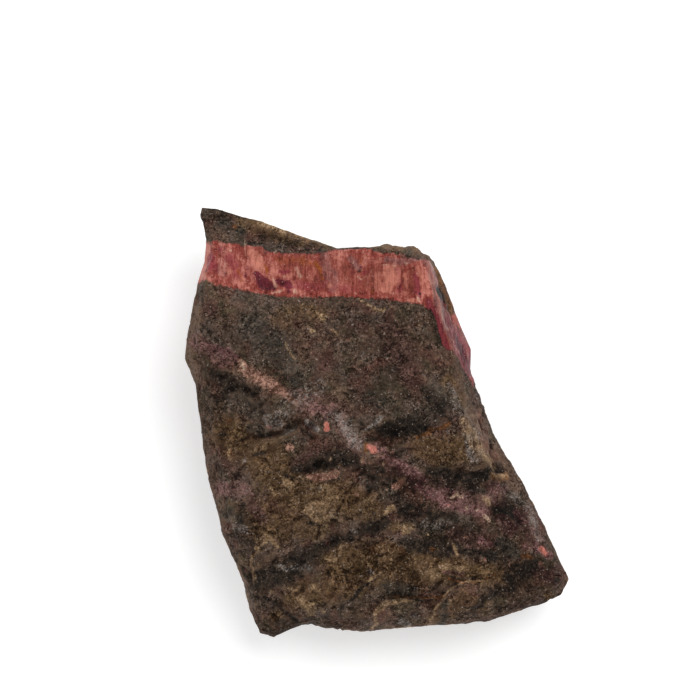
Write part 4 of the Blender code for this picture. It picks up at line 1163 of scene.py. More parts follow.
MARKS[Mark.STAIN] = streaks(
    (1, (-9.9, 23.5, 0.4), (-9.2, 22.7, 0.35)), (0.9, (-9.1, 22.3, 0.15), (-8.9, 20.3, 0.15)),
    (0.95, (-18.1, 23.5, 0.2), (-17.8, 22.2, 0.35)), (0.5, (-22.3, 22, 0.25), (-21.8, 20.6, 0.25)),
    (0.45, (-16.2, 24.4, 0.5), (-11, 23.6, 0.7)),
    *dots(0.7, 0.3, (-27.5, 21.6), (-2.7, 24), (-0.6, 18.2)),
)

MARKS[Mark.CREAM] = streaks(
    (0.45, (-26.6, 26.9, 0.3), (-26, 26.5, 0.3)),
    (0.6, (-21.1, 27.3, 0.1), (-21.2, 26, 0.12), (-20.9, 24.9, 0.14), (-20.8, 24, 0.16)),
    # A painted glint on the glassy maroon pit.
    (0.9, (-16.7, 20.6, 0.2), (-16.3, 19.6, 0.3), 0.4),
    (0.6, (-16.6, 18.2, 0.2), (-15.3, 18.5, 0.25), 0.4), (0.45, (-13.4, 18.9, 0.25), (-12.8, 18.3, 0.25)),
    (0.5, (-12.9, 22.4, 0.3), (-12.3, 21.2, 0.35)),
    (0.5, (-3.1, 21.3, 0.15), (-2.4, 20.9, 0.15), (-1.8, 21.2, 0.15), 0.5),
    (0.6, (0.7, 23.1, 0.15), (3, 23.1, 0.15), (3.2, 21.6, 0.12), 0.5),
    (0.7, (6.5, 17.2, 0.2), (6.8, 16.4, 0.2)),
    (0.45, (9.4, 19.2, 0.15), (10.4, 14.6, 0.2), (12, 11.2, 0.2), (13.4, 9, 0.15)),
    (0.4, (8.2, 21.6, 0.15), (9, 17.6, 0.15)),
    *dots(0.7, 0.22, (-23.4, 25.7), (-16.3, 25.6), (0.6, 24.3), (4.5, 23.6), (-15, 21.2), (2.4, 18.2),
        (-3.4, 18)),
)

# Crystals of the vein's colours in the wall rock.
MARKS[Mark.CORAL] += streaks(
    (1, (-8.1, -3, 0.3), (-8, -3.9, 0.4), 0.3), (0.6, (-1.4, -6.8, 0.5), (-0.6, -7.3, 0.7), 0.5),
    (0.6, (26.3, -21.7, 0.5), (27, -22.1, 0.5), 0.6),
    *dots(0.6, 0.3, (1.4, -9), (8, -14.6), (11.4, -15.8)),
)

MARKS[Mark.CREAM] += streaks(
    (0.7, (-21.8, 7, 0.3), (-21.1, 5.7, 0.3)),
    (0.8, (11.8, -14.6, 0.2), (12.6, -14.1, 0.4), (13.5, -14.4, 0.25), 0.4),
    (0.8, (17.4, -16.8, 0.3), (17.8, -17.6, 0.3), 0.4),
    (0.6, (-6.7, -10.9, 0.2), (-6.5, -10.5, 0.25), 0.4),
    (0.6, (-1.9, -8.2, 0.15), (-0.4, -8.3, 0.15), 0.4),
    *dots(0.7, 0.3, (1.8, -13.2), (14.4, -16), (16.2, -16), (9.9, -25.1)),
)


@dataclass
class Marks:
    """Lays the streaks over the top and scatters marks of their own over the sides and the underside."""

    wander: float = 0.5  # how far the streaks' edges wander, in millimetres
    wander_noises: tuple = ((1.7, 3, 501), (1.7, 3, 511))  # wavelength, octaves and seed
    fade_below: float = 2.0  # height under the rim at which the streaks end and the scattered marks begin
    fade_height: float = 2.5
    # A thin painted highlight along the rim, laid into the tan mark.
    rim_strength: float = 0.7
    rim_width: float = 0.65
    rim_edge: float = 1.3  # share of its width at which the painted highlight along the rim ends
    rim_noises: tuple = ((1.9, 2, 531), (4.2, 3, 521))  # that widens the line, and that breaks it
    rim_vary: float = 0.8
    rim_breaks: tuple[float, float] = (0.35, 2.4)
    lip_width: float = 0.24  # half the width of the painted highlight on a raised patch's edge
    lip_inset: float = 0.1  # how far in from the patch's edge its middle lies
    lip_edge: float = 1.4
    lip_strength: float = 0.55
    lip_turn: tuple[float, float] = (0.35, 0.3)  # how fast a lip grows to the north and fades to the east
    scattered_edge: float = 0.25
    # Rows of kind, strength, wavelength, the noise's value at which marks begin, and seed.
    scattered: tuple = (
        (Mark.OLIVE, 0.8, 9.0, -0.05, 421),
        (Mark.SLATE, 0.75, 7.0, 0.12, 451),
        (Mark.PLUM, 0.7, 6.0, 0.1, 461),
        (Mark.FROST, 0.6, 4.0, 0.32, 431),
        (Mark.BLACK, 0.9, 6.0, 0.12, 411),
        (Mark.ROSE, 0.8, 7.0, 0.3, 401),
        (Mark.RUST, 0.6, 3.0, 0.42, 441),
    )

    def covers(self, points: Array, rim_height: Array, from_rim: Array, patches: tuple) -> dict[Mark, Array]:
        """How much of each mark every point has.

        Args:
            points: Rows of x, y and z, in millimetres.
            rim_height: Height of the rim nearest to each point.
            from_rim: Distance from the rim, along which a noise breaks a painted highlight line.
            patches: The wall rock's raised patches, whose edges get a painted highlight where they look to
                the north-west.

        Returns:
            Values from 0 to 1 for each kind: the strongest streak where the point is above the rim, and a
            noise cut off at a level below it.
        """
        moves = [self.wander * fractal(points, *noise) for noise in self.wander_noises]
        x, y = points[:, 0] + moves[0], points[:, 1] + moves[1]
        above = smooth_step((points[:, 2] - rim_height + self.fade_below) / self.fade_height)
        found = {kind: np.zeros(len(points)) for kind in Mark}
        for kind, laid in MARKS.items():
            for streak in laid:
                found[kind] = np.maximum(found[kind], above * streak.cover(x, y))
        # Painted highlight along the rim, widened and broken by noises.
        widening, breaking = [fractal(points, *noise) for noise in self.rim_noises]
        width = self.rim_width * (1.0 + self.rim_vary * widening)
        rim_highlight = self.rim_strength * smooth_step(self.rim_edge - from_rim / width)
        rim_highlight = rim_highlight * smooth_step(self.rim_breaks[0] + self.rim_breaks[1] * breaking)
        found[Mark.TAN] = np.maximum(found[Mark.TAN], rim_highlight)
        # Painted highlight on the edges of the raised patches that look to the north-west.
        north, east = self.lip_turn
        for _, _, outline in patches:
            middle_x, middle_y = np.mean(outline, axis=0)
            lit = smooth_step(0.5 + north * (y - middle_y) - east * (x - middle_x))
            off = np.abs(signed_inside(x, y, outline) - self.lip_inset)
            edge = smooth_step(self.lip_edge - off / self.lip_width)
            found[Mark.TAN] = np.maximum(found[Mark.TAN], above * (self.lip_strength * lit * edge))
        for kind, strength, wavelength, level, seed in self.scattered:
            over = fractal(points, wavelength, 3, seed) - level
            cover = strength * smooth_step(over / self.scattered_edge)
            found[kind] = np.maximum(found[kind], (1.0 - above) * cover)
        return found


# ---- materials


FLOAT = "NodeSocketFloat"
COLOUR = "NodeSocketColor"
VECTOR = "NodeSocketVector"
SOCKETS = {1: FLOAT, 3: VECTOR, 4: COLOUR}  # by how many numbers a value has
SECOND_INPUT = {"SCALE": "Scale"}  # of a vector operation, where it isn't the second vector
RESULT = {"DOT_PRODUCT": "Value"}  # of a vector operation, where it isn't a vector

GREY = (0.5, 0.5, 0.5, 1.0)
WHITE = (1.0, 1.0, 1.0, 1.0)


def linear(colour: Colour) -> tuple[float, float, float, float]:
    """A colour given from 0 to 255 as it looks, turned into the linear values that a shader takes.

    Args:
        colour: Red, green and blue, from 0 to 255.

    Returns:
        Linear red, green and blue from 0 to 1, and an alpha of 1.
    """
    share = np.array(colour) / 255.0
    curved = np.where(share <= 0.04045, share / 12.92, ((share + 0.055) / 1.055) ** 2.4)
    return (*map(float, curved), 1.0)


@dataclass
class NodeBench:
    """Adds nodes to a tree. A value that is a socket is linked, and any other is set on the input."""

    tree: bpy.types.NodeTree

    def fed(self, node: bpy.types.Node, inputs: dict) -> bpy.types.Node:
        """The node after its inputs are set or linked.

        Args:
            node: The node.
            inputs: Values or sockets, by the input's name or number.

        Returns:
            The same node.
        """
        for key, value in inputs.items():
            if isinstance(value, bpy.types.NodeSocket):
                self.tree.links.new(value, node.inputs[key])
            else:
                node.inputs[key].default_value = value
        return node

    def add(self, kind: str, inputs: dict, **settings: object) -> bpy.types.Node:
        """A node of this kind.

        Args:
            kind: The node's Blender type.
            inputs: Values or sockets for its inputs, by name or number.
            **settings: Values for its own properties.

        Returns:
            The new node.
        """
        node = self.tree.nodes.new(kind)
        for name, value in settings.items():
            setattr(node, name, value)
        return self.fed(node, inputs)

    def math(self, operation: str, *values: object) -> bpy.types.NodeSocket:
        """One operation on two values or three."""
        return self.add("ShaderNodeMath", dict(enumerate(values)), operation=operation).outputs[0]

    def times(self, first: object, second: object) -> bpy.types.NodeSocket:
        """The product of two values."""
        return self.math("MULTIPLY", first, second)

    def weighted(self, *terms: tuple[float, object]) -> bpy.types.NodeSocket:
        """The sum of values, each times its weight.

        Args:
            *terms: Pairs of a weight and a value.

        Returns:
            The sum.
        """
        total = self.times(terms[0][1], terms[0][0])
        for weight, value in terms[1:]:
            total = self.math("MULTIPLY_ADD", value, weight, total)
        return total

    def clamped(self, value: object) -> bpy.types.NodeSocket:
        """The value, kept between 0 and 1."""
        return self.add("ShaderNodeClamp", {0: value}).outputs[0]

    def remap(self, value: object, low: float, high: float, to: tuple[float, float] = (0.0, 1.0),
              shape: str = "SMOOTHSTEP") -> bpy.types.NodeSocket:
        """The value's way from low to high, eased unless the shape is LINEAR, and what that becomes."""
        inputs = {0: value, 1: low, 2: high, 3: to[0], 4: to[1]}
        return self.add("ShaderNodeMapRange", inputs, interpolation_type=shape).outputs[0]

    def vector(self, how: str, first: object, second: object) -> bpy.types.NodeSocket:
        """One operation on two vectors, or on a vector and the number that scales it."""
        node = self.add("ShaderNodeVectorMath", {0: first, SECOND_INPUT.get(how, 1): second}, operation=how)
        return node.outputs[RESULT.get(how, "Vector")]

    def mix(self, share: object, first: object, second: object, blend: str = "MIX") -> bpy.types.NodeSocket:
        """A colour between two, or with MULTIPLY the first darkened by the second."""
        inputs = {0: share, 6: first, 7: second}
        return self.add("ShaderNodeMix", inputs, data_type="RGBA", blend_type=blend).outputs[2]

    def between(self, share: object, first: object, second: object) -> bpy.types.NodeSocket:
        """A number between two."""
        return self.add("ShaderNodeMix", {0: share, 2: first, 3: second}).outputs[0]

    def noise(self, place: object, size: float, detail: float = 2.0, roughness: float = 0.55,
              output: str = "Fac") -> bpy.types.NodeSocket:
        """Noise from 0 to 1 with features `size` millimetres wide; Color as output gives three values."""
        inputs = {"Vector": place, "Scale": 1.0 / size, "Detail": detail, "Roughness": roughness}
        return self.add("ShaderNodeTexNoise", inputs).outputs[output]

    def spread(self, place: object, size: float, detail: float, roughness: float,
               half: float) -> bpy.types.NodeSocket:
        """Noise whose part within `half` of 0.5 is drawn out to 0 and 1."""
        noise = self.noise(place, size, detail, roughness)
        return self.remap(noise, 0.5 - half, 0.5 + half, shape="LINEAR")

    def bent(self, place: object, reach: float, *noise: float) -> bpy.types.NodeSocket:
        """A place moved up to `reach` by a noise of this size, detail and roughness."""
        return self.vector("ADD", place, self.vector("SCALE", self.noise(place, *noise, "Color"), reach))

    def cells(self, place: object, distance: str = "EUCLIDEAN") -> tuple:
        """The Voronoi node of cells one unit wide, and three random values for each cell."""
        node = self.add("ShaderNodeTexVoronoi", {"Vector": place, "Scale": 1.0}, distance=distance)
        return node, self.add("ShaderNodeSeparateColor", {0: node.outputs["Color"]}).outputs

    def attribute(self, name: str, output: str = "Fac") -> bpy.types.NodeSocket:
        """The value of one of the mesh's attributes."""
        return self.add("ShaderNodeAttribute", {}, attribute_name=name).outputs[output]

    def lightened(self) -> bpy.types.NodeSocket:
        """How much lighter the marks make the stone, below 0 where darker, partly as painted light and shade.
        """
        return self.math("SUBTRACT", self.attribute(Mark.PALE.value), self.attribute(Mark.DARK.value))

    def place(self) -> bpy.types.NodeSocket:
        """Object coordinates in millimetres."""
        return self.vector("SCALE", self.add("ShaderNodeTexCoord", {}).outputs["Object"], 1 / MM)

    def group(self, tree: bpy.types.NodeTree, **inputs: object) -> bpy.types.bpy_prop_collection:
        """The outputs of a node that holds a group, with these inputs by name."""
        return self.fed(self.add("ShaderNodeGroup", {}, node_tree=tree), inputs).outputs


def new_group(name: str, inputs: dict[str, object], outputs: dict[str, str]) -> tuple:
    """An empty node group.

    Args:
        name: The group's name.
        inputs: Its inputs' defaults: numbers, places of three values or colours of four.
        outputs: Its outputs with their socket types.

    Returns:
        A bench for the group's tree, the sockets of its inputs by name, and its output node.
    """
    tree = bpy.data.node_groups.new(name, "ShaderNodeTree")
    for key, value in inputs.items():
        socket = tree.interface.new_socket(key, in_out="INPUT", socket_type=SOCKETS[np.size(value)])
        socket.default_value = value
    for key, kind in outputs.items():
        tree.interface.new_socket(key, in_out="OUTPUT", socket_type=kind)
    bench = NodeBench(tree)
    return bench, bench.add("NodeGroupInput", {}).outputs, bench.add("NodeGroupOutput", {})


def new_material(name: str, specular: float) -> tuple:
    """A material that has only its shader.

    Args:
        name: The material's name.
        specular: How strongly it mirrors.

    Returns:
        The material, a bench for its tree, and the shader.
    """
    material = bpy.data.materials.new(name)
    material.use_nodes = True
    bench = NodeBench(material.node_tree)
    shader = material.node_tree.nodes["Principled BSDF"]
    return material, bench, bench.fed(shader, {"Specular IOR Level": specular})


def ragged_group() -> bpy.types.NodeTree:
    """A group that turns a soft mask into ragged patches and single crystals at its edge.

    Returns:
        The group. A noise times Grain and each crystal's own draw, Pick, times Speckle are added to the mask,
        and a step of twice Width cuts it. A mask of 0.5 covers about half, and Seed moves the noise.
    """
    inputs = {"Mask": 0.0, "Place": (0.0, 0.0, 0.0), "Pick": 0.5, "Grain": 0.5, "Speckle": 0.6, "Width": 0.2,
              "Seed": 0.0}
    bench, given, result = new_group("ragged_patches", inputs, {"Mask": FLOAT})
    seeds = bench.add("ShaderNodeCombineXYZ", {k: given["Seed"] for k in range(3)}).outputs[0]
    place = bench.vector("ADD", given["Place"], seeds)
    shift = bench.remap(bench.noise(place, 1.3, 6.0, 0.72), 0.0, 1.0, (-1.0, 1.0), "LINEAR")
    moved = bench.math("ADD", given["Mask"], bench.times(shift, given["Grain"]))
    pick = bench.math("SUBTRACT", given["Pick"], 0.5)
    moved = bench.math("ADD", moved, bench.times(pick, given["Speckle"]))
    low = bench.math("SUBTRACT", 0.5, given["Width"])
    share = bench.math("DIVIDE", bench.math("SUBTRACT", moved, low), bench.times(given["Width"], 2.0))
    present = bench.remap(given["Mask"], 0.02, 0.15)
    bench.fed(result, {"Mask": bench.times(bench.clamped(share), present)})
    return bench.tree


def grain_group() -> bpy.types.NodeTree:
    """A group of mineral grains: crystals of two sizes with a random tone each, over a wider noise.

    Returns:
        The group, with a dark-to-light value, sparse glossy crystals that take a painted glint, and each
        crystal's own draw from 0 to 1, for a grain size in millimetres.
    """
    kinds = {"Value": FLOAT, "Sparks": FLOAT, "Pick": FLOAT}
    bench, given, result = new_group("grain", {"Size": 0.22}, kinds)
    scaled = bench.vector("SCALE", bench.place(), bench.math("DIVIDE", 1.0, given["Size"]))
    moved = bench.bent(scaled, 0.9, 0.8, 1.0, 0.5)
    coarse, fine = [bench.cells(bench.vector("SCALE", moved, scale))[1] for scale in (0.75, 1.50)]
    wide = bench.spread(scaled, 4.5, 4.0, 0.68, 0.22)
    bright = bench.weighted((0.5, bench.remap(coarse[1], 0.76, 1.0)), (0.5, bench.remap(fine[2], 0.76, 1.0)))
    bench.fed(result, {
        "Value": bench.weighted((0.28, coarse[0]), (0.24, fine[0]), (0.36, wide), (0.36, bright)),
        "Sparks": bench.times(bench.remap(fine[1], 0.982, 0.992), bench.remap(wide, 0.3, 0.6)),
        "Pick": bench.weighted((0.6, coarse[2]), (0.4, fine[2])),
    })
    return bench.tree


def chips_group() -> bpy.types.NodeTree:
    """A group of small broken facets: cells of three sizes, each tilted its own way.

    Returns:
        The group, with a random tone for each facet and a height in millimetres. A cell's height is the dot
        product of its own slope and the way from its middle.
    """
    bench, given, result = new_group("chips", {"Tilt": 0.26}, {"Tone": FLOAT, "Height": FLOAT})
    moved = bench.bent(bench.place(), 1.0, 1.1, 3.0, 0.6)
    tones, heights = [], []
    for size, weight in ((1.9, 0.3), (0.8, 0.35), (0.36, 0.35)):
        scaled = bench.vector("SCALE", moved, 1.0 / size)
        cells, draws = bench.cells(scaled)
        away = bench.vector("SUBTRACT", scaled, cells.outputs["Position"])
        slope = bench.vector("SUBTRACT", cells.outputs["Color"], GREY[:3])
        heights.append((size, bench.vector("DOT_PRODUCT", away, slope)))
        tones.append((weight, draws[2]))
    height = bench.times(bench.weighted(*heights), given["Tilt"])
    bench.fed(result, {"Tone": bench.weighted(*tones), "Height": height})
    return bench.tree


def layers_group() -> bpy.types.NodeTree:
    """A group of thin broken layers: noise drawn out along the layers is cut into treads.

    Returns:
        The group, with the painted shadow under each riser, the pale lip above it, partly a painted
        highlight, and a height in millimetres. They fade in and out along the layers.
    """
    kinds = {"FootShadow": FLOAT, "Lip": FLOAT, "Height": FLOAT}
    bench, given, result = new_group("layers", {"Treads": 12.0}, kinds)
    place = bench.place()
    turn = {"Vector": place, "Angle": np.radians(-24.0)}
    turned = bench.add("ShaderNodeVectorRotate", turn, rotation_type="Z_AXIS").outputs[0]
    drawn = bench.vector("MULTIPLY", turned, (0.42, 1.0, 1.0))
    share = bench.math("FRACT", bench.times(bench.noise(drawn, 2.6, 5.0, 0.60), given["Treads"]))
    shown = bench.remap(bench.noise(bench.vector("ADD", place, (9.0, 4.0, 2.0)), 1.6, 3.0, 0.6), 0.46, 0.58)
    bench.fed(result, {
        "FootShadow": bench.times(bench.remap(share, 0.30, 0.0), shown),
        "Lip": bench.times(bench.remap(share, 0.74, 0.96), shown),
        "Height": bench.times(bench.times(share, shown), 0.10),
    })
    return bench.tree


def relief_group() -> bpy.types.NodeTree:
    """A group that paints shade into a colour in hollows and lightens it on ridges, by how the mesh's relief
    runs.

    Returns:
        The group, with the colour.
    """
    inputs = {"Color": GREY, "Edge": GREY, "HollowShade": GREY, "Edge Share": 0.3}
    bench, given, result = new_group("relief_shade_and_ridge_tint", inputs, {"Color": COLOUR})
    near = bench.attribute("relief")
    ridge = bench.times(bench.remap(near, 0.50, 1.90), given["Edge Share"])
    colour = bench.mix(ridge, given["Color"], given["Edge"])
    # Painted shade: the colour is darkened where the relief is hollow, finely and widely.
    for relief, low, deep in ((near, 0.10, -2.00), (bench.attribute("relief_wide"), 0.00, -2.20)):
        colour = bench.mix(bench.remap(relief, low, deep), colour, given["HollowShade"], "MULTIPLY")
    bench.fed(result, {"Color": colour})
    return bench.tree


@dataclass(frozen=True)
class Tones:
    """The darkest and the lightest colour of one mineral, as they look in plain light."""

    dark: Colour
    light: Colour

    def shade(self, bench: NodeBench, value: object) -> bpy.types.NodeSocket:
        """The colour for a value from 0 to 1."""
        return bench.mix(value, linear(self.dark), linear(self.light))


@dataclass(frozen=True)
class Stain:
    """The mineral that a mark shows, and how ragged, how speckled and how soft its patches are."""

    mark: Mark
    tones: Tones
    grain: float
    speckle: float
    width: float


@dataclass
class Textures:
    """The groups that both materials share, each built once."""

    seed_step: float = 7.3  # how far apart the noises of two kinds of mark lie
    painted_glint_share: float = 0.6  # how much of its painted glint colour a glossy crystal shows

    def __post_init__(self) -> None:
        """Builds the five groups."""
        self.grain, self.chips, self.layers = grain_group(), chips_group(), layers_group()
        self.ragged, self.relief = ragged_group(), relief_group()

    def stained(self, bench: NodeBench, colour: object, stains: tuple[Stain, ...], place: object,
                pick: object, value: object) -> bpy.types.NodeSocket:
        """A colour with marks over it, in ragged patches.

        Args:
            bench: The bench of the tree that uses it.
            colour: The colour under the marks.
            stains: The marks, the last on top.
            place: Where each point lies, in millimetres.
            pick: Each crystal's own draw.
            value: Dark-to-light value of the marks.

        Returns:
            The colour.
        """
        for stain in stains:
            seed = self.seed_step * list(Mark).index(stain.mark)
            shares = {"Grain": stain.grain, "Speckle": stain.speckle, "Width": stain.width, "Seed": seed}
            mask = bench.attribute(stain.mark.value)
            cover = bench.group(self.ragged, Mask=mask, Place=place, Pick=pick, **shares)[0]
            colour = bench.mix(cover, colour, stain.tones.shade(bench, value))
        return colour

    def lit(self, bench: NodeBench, colour: object, tints: tuple[Colour, Colour, Colour],
            sparks: object) -> bpy.types.NodeSocket:
        """A colour with its ridges lightened, painted shade in its hollows and painted glints on crystals.

        Args:
            bench: The bench of the tree that uses it.
            colour: The colour.
            tints: Colours of the ridges, of the painted shade in hollows and of the painted glints.
            sparks: Where glossy crystals lie, which take a painted glint.

        Returns:
            The new colour.
        """
        edge, hollow, painted_glint = map(linear, tints)
        colour = bench.group(self.relief, Color=colour, Edge=edge, HollowShade=hollow)[0]
        return bench.mix(bench.times(sparks, self.painted_glint_share), colour, painted_glint)


@dataclass(frozen=True)
class WallRock:
    """Brown, fine-grained wall rock and the minerals that stain it.

    A zone is (tones, how far its noise is moved, the noise's value at which the zone begins).
    """

    brown: Tones = Tones((28, 14, 4), (122, 97, 81))
    zones: tuple = (
        (Tones((27, 18, 11), (117, 99, 88)), 0.0, 0.44),
        (Tones((35, 14, 7), (121, 88, 75)), 31.0, 0.48),
        (Tones((20, 14, 4), (100, 85, 67)), 63.0, 0.5),
    )
    stains: tuple[Stain, ...] = (
        Stain(Mark.OLIVE, Tones((36, 20, 2), (134, 105, 74)), 0.7, 0.7, 0.4),
        Stain(Mark.SLATE, Tones((11, 9, 6), (92, 83, 73)), 0.7, 0.8, 0.4),
        Stain(Mark.PLUM, Tones((31, 14, 10), (112, 81, 74)), 0.7, 0.7, 0.4),
        Stain(Mark.BLACK, Tones((7, 5, 3), (66, 55, 47)), 0.7, 0.8, 0.36),
        Stain(Mark.ROSE, Tones((54, 29, 28), (164, 121, 117)), 0.7, 0.8, 0.36),
        Stain(Mark.SALMON, Tones((84, 54, 42), (198, 152, 132)), 0.5, 0.6, 0.3),
        Stain(Mark.FROST, Tones((36, 30, 27), (160, 148, 140)), 0.7, 1.00, 0.3),
        Stain(Mark.RUST, Tones((42, 24, 10), (148, 96, 55)), 0.6, 0.6, 0.4),
        # The tan mark also holds the painted highlights along the rim and on the raised patches' edges.
        Stain(Mark.TAN, Tones((82, 60, 40), (192, 160, 124)), 0.6, 0.6, 0.34),
        Stain(Mark.CORAL, Tones((150, 80, 68), (230, 148, 130)), 0.4, 0.25, 0.16),
        Stain(Mark.CREAM, Tones((112, 84, 68), (212, 182, 158)), 0.5, 0.5, 0.22),
    )
    # colour of the ridges and of the layers' pale lips, the lips partly a painted highlight
    edge: Colour = (128, 102, 80)
    # painted shade: the colour that hollows and the risers of the broken layers are darkened by
    hollow: Colour = (154, 142, 132)
    # colour of the painted glint on glossy crystals
    painted_glint: Colour = (176, 162, 150)
    specular: float = 0.1

    def group(self, textures: Textures) -> bpy.types.NodeTree:
        """The group that puts out the wall rock's colour, roughness and height.

        Args:
            textures: The groups that it uses.

        Returns:
            The group, with the height in millimetres.
        """
        kinds = {"Color": COLOUR, "Roughness": FLOAT, "Height": FLOAT}
        bench, _, result = new_group("wall_rock", {}, kinds)
        place = bench.place()
        grains, chips, layers = [
            bench.group(tree) for tree in (textures.grain, textures.chips, textures.layers)
        ]
        contrast = bench.remap(bench.noise(place, 2.4, 3.0, 0.6), 0.38, 0.62, (0.9, 2.4))
        value = bench.times(bench.math("SUBTRACT", grains["Value"], 0.48), contrast)
        # The dark and pale marks shift the value: partly the rock's own tone, partly painted light and shade.
        value = bench.weighted((1.0, value), (0.34, chips["Tone"]), (0.36, bench.lightened()), (0.385, 1.0))
        value = bench.math("POWER", bench.clamped(value), 1.6)
        speckle = bench.weighted((0.1, grains["Pick"]), (-0.05, 1.0))
        colour = self.brown.shade(bench, value)
        for tones, move, low in self.zones:
            field = bench.noise(bench.vector("ADD", place, (move, move, move)), 4.6, 6.0, 0.62)
            share = bench.remap(bench.math("ADD", field, speckle), low, low + 0.16)
            colour = bench.mix(share, colour, tones.shade(bench, value))
        colour = textures.stained(bench, colour, self.stains, place, grains["Pick"], value)
        flaky = bench.attribute("flaky")
        # Pale lips of the broken layers, partly a painted highlight, and painted shadow under their risers.
        lip = bench.times(bench.times(layers["Lip"], flaky), 0.16)
        riser_shadow = bench.times(bench.times(layers["FootShadow"], flaky), 0.6)
        colour = bench.mix(lip, colour, linear(self.edge))
        colour = bench.mix(riser_shadow, colour, linear(self.hollow), "MULTIPLY")
        layered = bench.times(layers["Height"], flaky)
        height = bench.weighted((0.09, value), (1.0, chips["Height"]), (1.0, layered))
        bench.fed(result, {
            "Color": textures.lit(bench, colour, (self.edge, self.hollow, self.painted_glint), grains["Sparks"]),
            "Roughness": bench.remap(grains["Sparks"], 0.0, 1.0, (0.78, 0.40)),
            "Height": height,
        })
        return bench.tree

    def material(self, rock: bpy.types.NodeTree) -> bpy.types.Material:
        """The material of faces that hold no vein.

        Args:
            rock: The wall rock's group.

        Returns:
            The material.
        """
        material, bench, shader = new_material("wall_rock", self.specular)
        body = bench.group(rock)
        normal = bench.add("ShaderNodeBump", {"Distance": MM, "Height": body["Height"]}).outputs[0]
        bench.fed(shader, {"Base Color": body["Color"], "Roughness": body["Roughness"], "Normal": normal})
        return material


@dataclass(frozen=True)
class PinkVein:
    """Fibrous pink rhodonite and the minerals in it."""

    deep: Colour = (84, 25, 21)
    pink: Colour = (138, 60, 50)
    pale: Colour = (194, 120, 106)
    stains: tuple[Stain, ...] = (
        Stain(Mark.EMBER, Tones((84, 32, 24), (162, 84, 68)), 0.7, 0.4, 0.45),
        Stain(Mark.MAUVE, Tones((82, 46, 44), (168, 122, 116)), 0.7, 0.5, 0.45),
        Stain(Mark.CRIMSON, Tones((78, 16, 24), (160, 64, 70)), 0.7, 0.5, 0.42),
        Stain(Mark.CORAL, Tones((128, 64, 52), (210, 132, 112)), 0.6, 0.35, 0.32),
        Stain(Mark.MAROON, Tones((20, 3, 8), (132, 46, 58)), 0.7, 0.4, 0.26),
        Stain(Mark.STAIN, Tones((70, 26, 6), (184, 96, 44)), 0.7, 0.5, 0.4),
        Stain(Mark.CREAM, Tones((146, 90, 76), (222, 176, 154)), 0.7, 0.5, 0.34),
        Stain(Mark.BLACK, Tones((10, 4, 3), (52, 32, 27)), 0.6, 0.4, 0.3),
    )
    # painted shade: the colour that the vein's hollows are darkened by
    hollow: Colour = (180, 134, 126)
    # colour of the painted glint on the vein's glossy crystals
    painted_glint: Colour = (212, 170, 158)
    specular: float = 0.16
    wall_edge: tuple[float, float] = (0.6, 0.9)  # ragged depth at which it begins and at which it is whole

    def material(self, rock: bpy.types.NodeTree, textures: Textures) -> bpy.types.Material:
        """The material of faces in and beside the vein, which shows wall rock outside the vein's walls.

        Args:
            rock: The wall rock's group.
            textures: The groups that it uses.

        Returns:
            The material.
        """
        material, bench, shader = new_material("pink_vein", self.specular)
        body = bench.group(rock)
        grains = bench.group(textures.grain)
        along = bench.attribute("fibre_place", "Vector")
        fibres = bench.spread(bench.vector("MULTIPLY", along, (1.0, 0.22, 0.16)), 0.34, 4.0, 0.76, 0.20)
        clouds = bench.spread(along, 2.2, 5.0, 0.66, 0.2)
        blocks = bench.vector("MULTIPLY", bench.bent(along, 0.7, 1.4, 3.0, 0.6), (0.80, 0.42, 0.36))
        blocks = bench.cells(blocks, "CHEBYCHEV")[1][0]
        # The dark and pale marks, partly painted light and shade, shift the vein's tone and value.
        lightened = bench.lightened()
        tone = bench.weighted((0.52, fibres), (0.40, clouds), (0.32, blocks), (0.50, grains["Value"]),
                              (0.36, lightened), (-0.34, 1.0))
        value = bench.weighted((0.66, fibres), (0.34, clouds), (0.60, grains["Value"]), (0.20, lightened),
                               (-0.28, 1.0))
        value = bench.clamped(value)
        pick = bench.weighted((0.5, fibres), (0.5, grains["Pick"]))
        colour = bench.mix(bench.remap(tone, 0.14, 0.5), linear(self.deep), linear(self.pink))
        colour = bench.mix(bench.remap(tone, 0.48, 0.88), colour, linear(self.pale))
        place = bench.vector("MULTIPLY", along, (1.0, 0.45, 0.35))
        colour = textures.stained(bench, colour, self.stains, place, pick, value)
        colour = textures.lit(bench, colour, (self.pale, self.hollow, self.painted_glint), grains["Sparks"])
        edge = bench.noise(bench.place(), 0.8, 4.0)
        edge = bench.weighted((1.0, bench.attribute("vein_depth")), (1.0, edge), (0.5, grains["Pick"]))
        inside = bench.remap(edge, *self.wall_edge)
        relief = bench.weighted((0.1, tone), (0.05, value), (0.16, blocks))
        height = bench.between(inside, body["Height"], relief)
        shine = bench.remap(fibres, 0.2, 0.8, (0.62, 0.42))
        bench.fed(shader, {
            "Base Color": bench.mix(inside, body["Color"], colour),
            "Roughness": bench.between(inside, body["Roughness"], shine),
            "Normal": bench.add("ShaderNodeBump", {"Distance": MM, "Height": height}).outputs[0],
        })
        return material


# ---- pieces


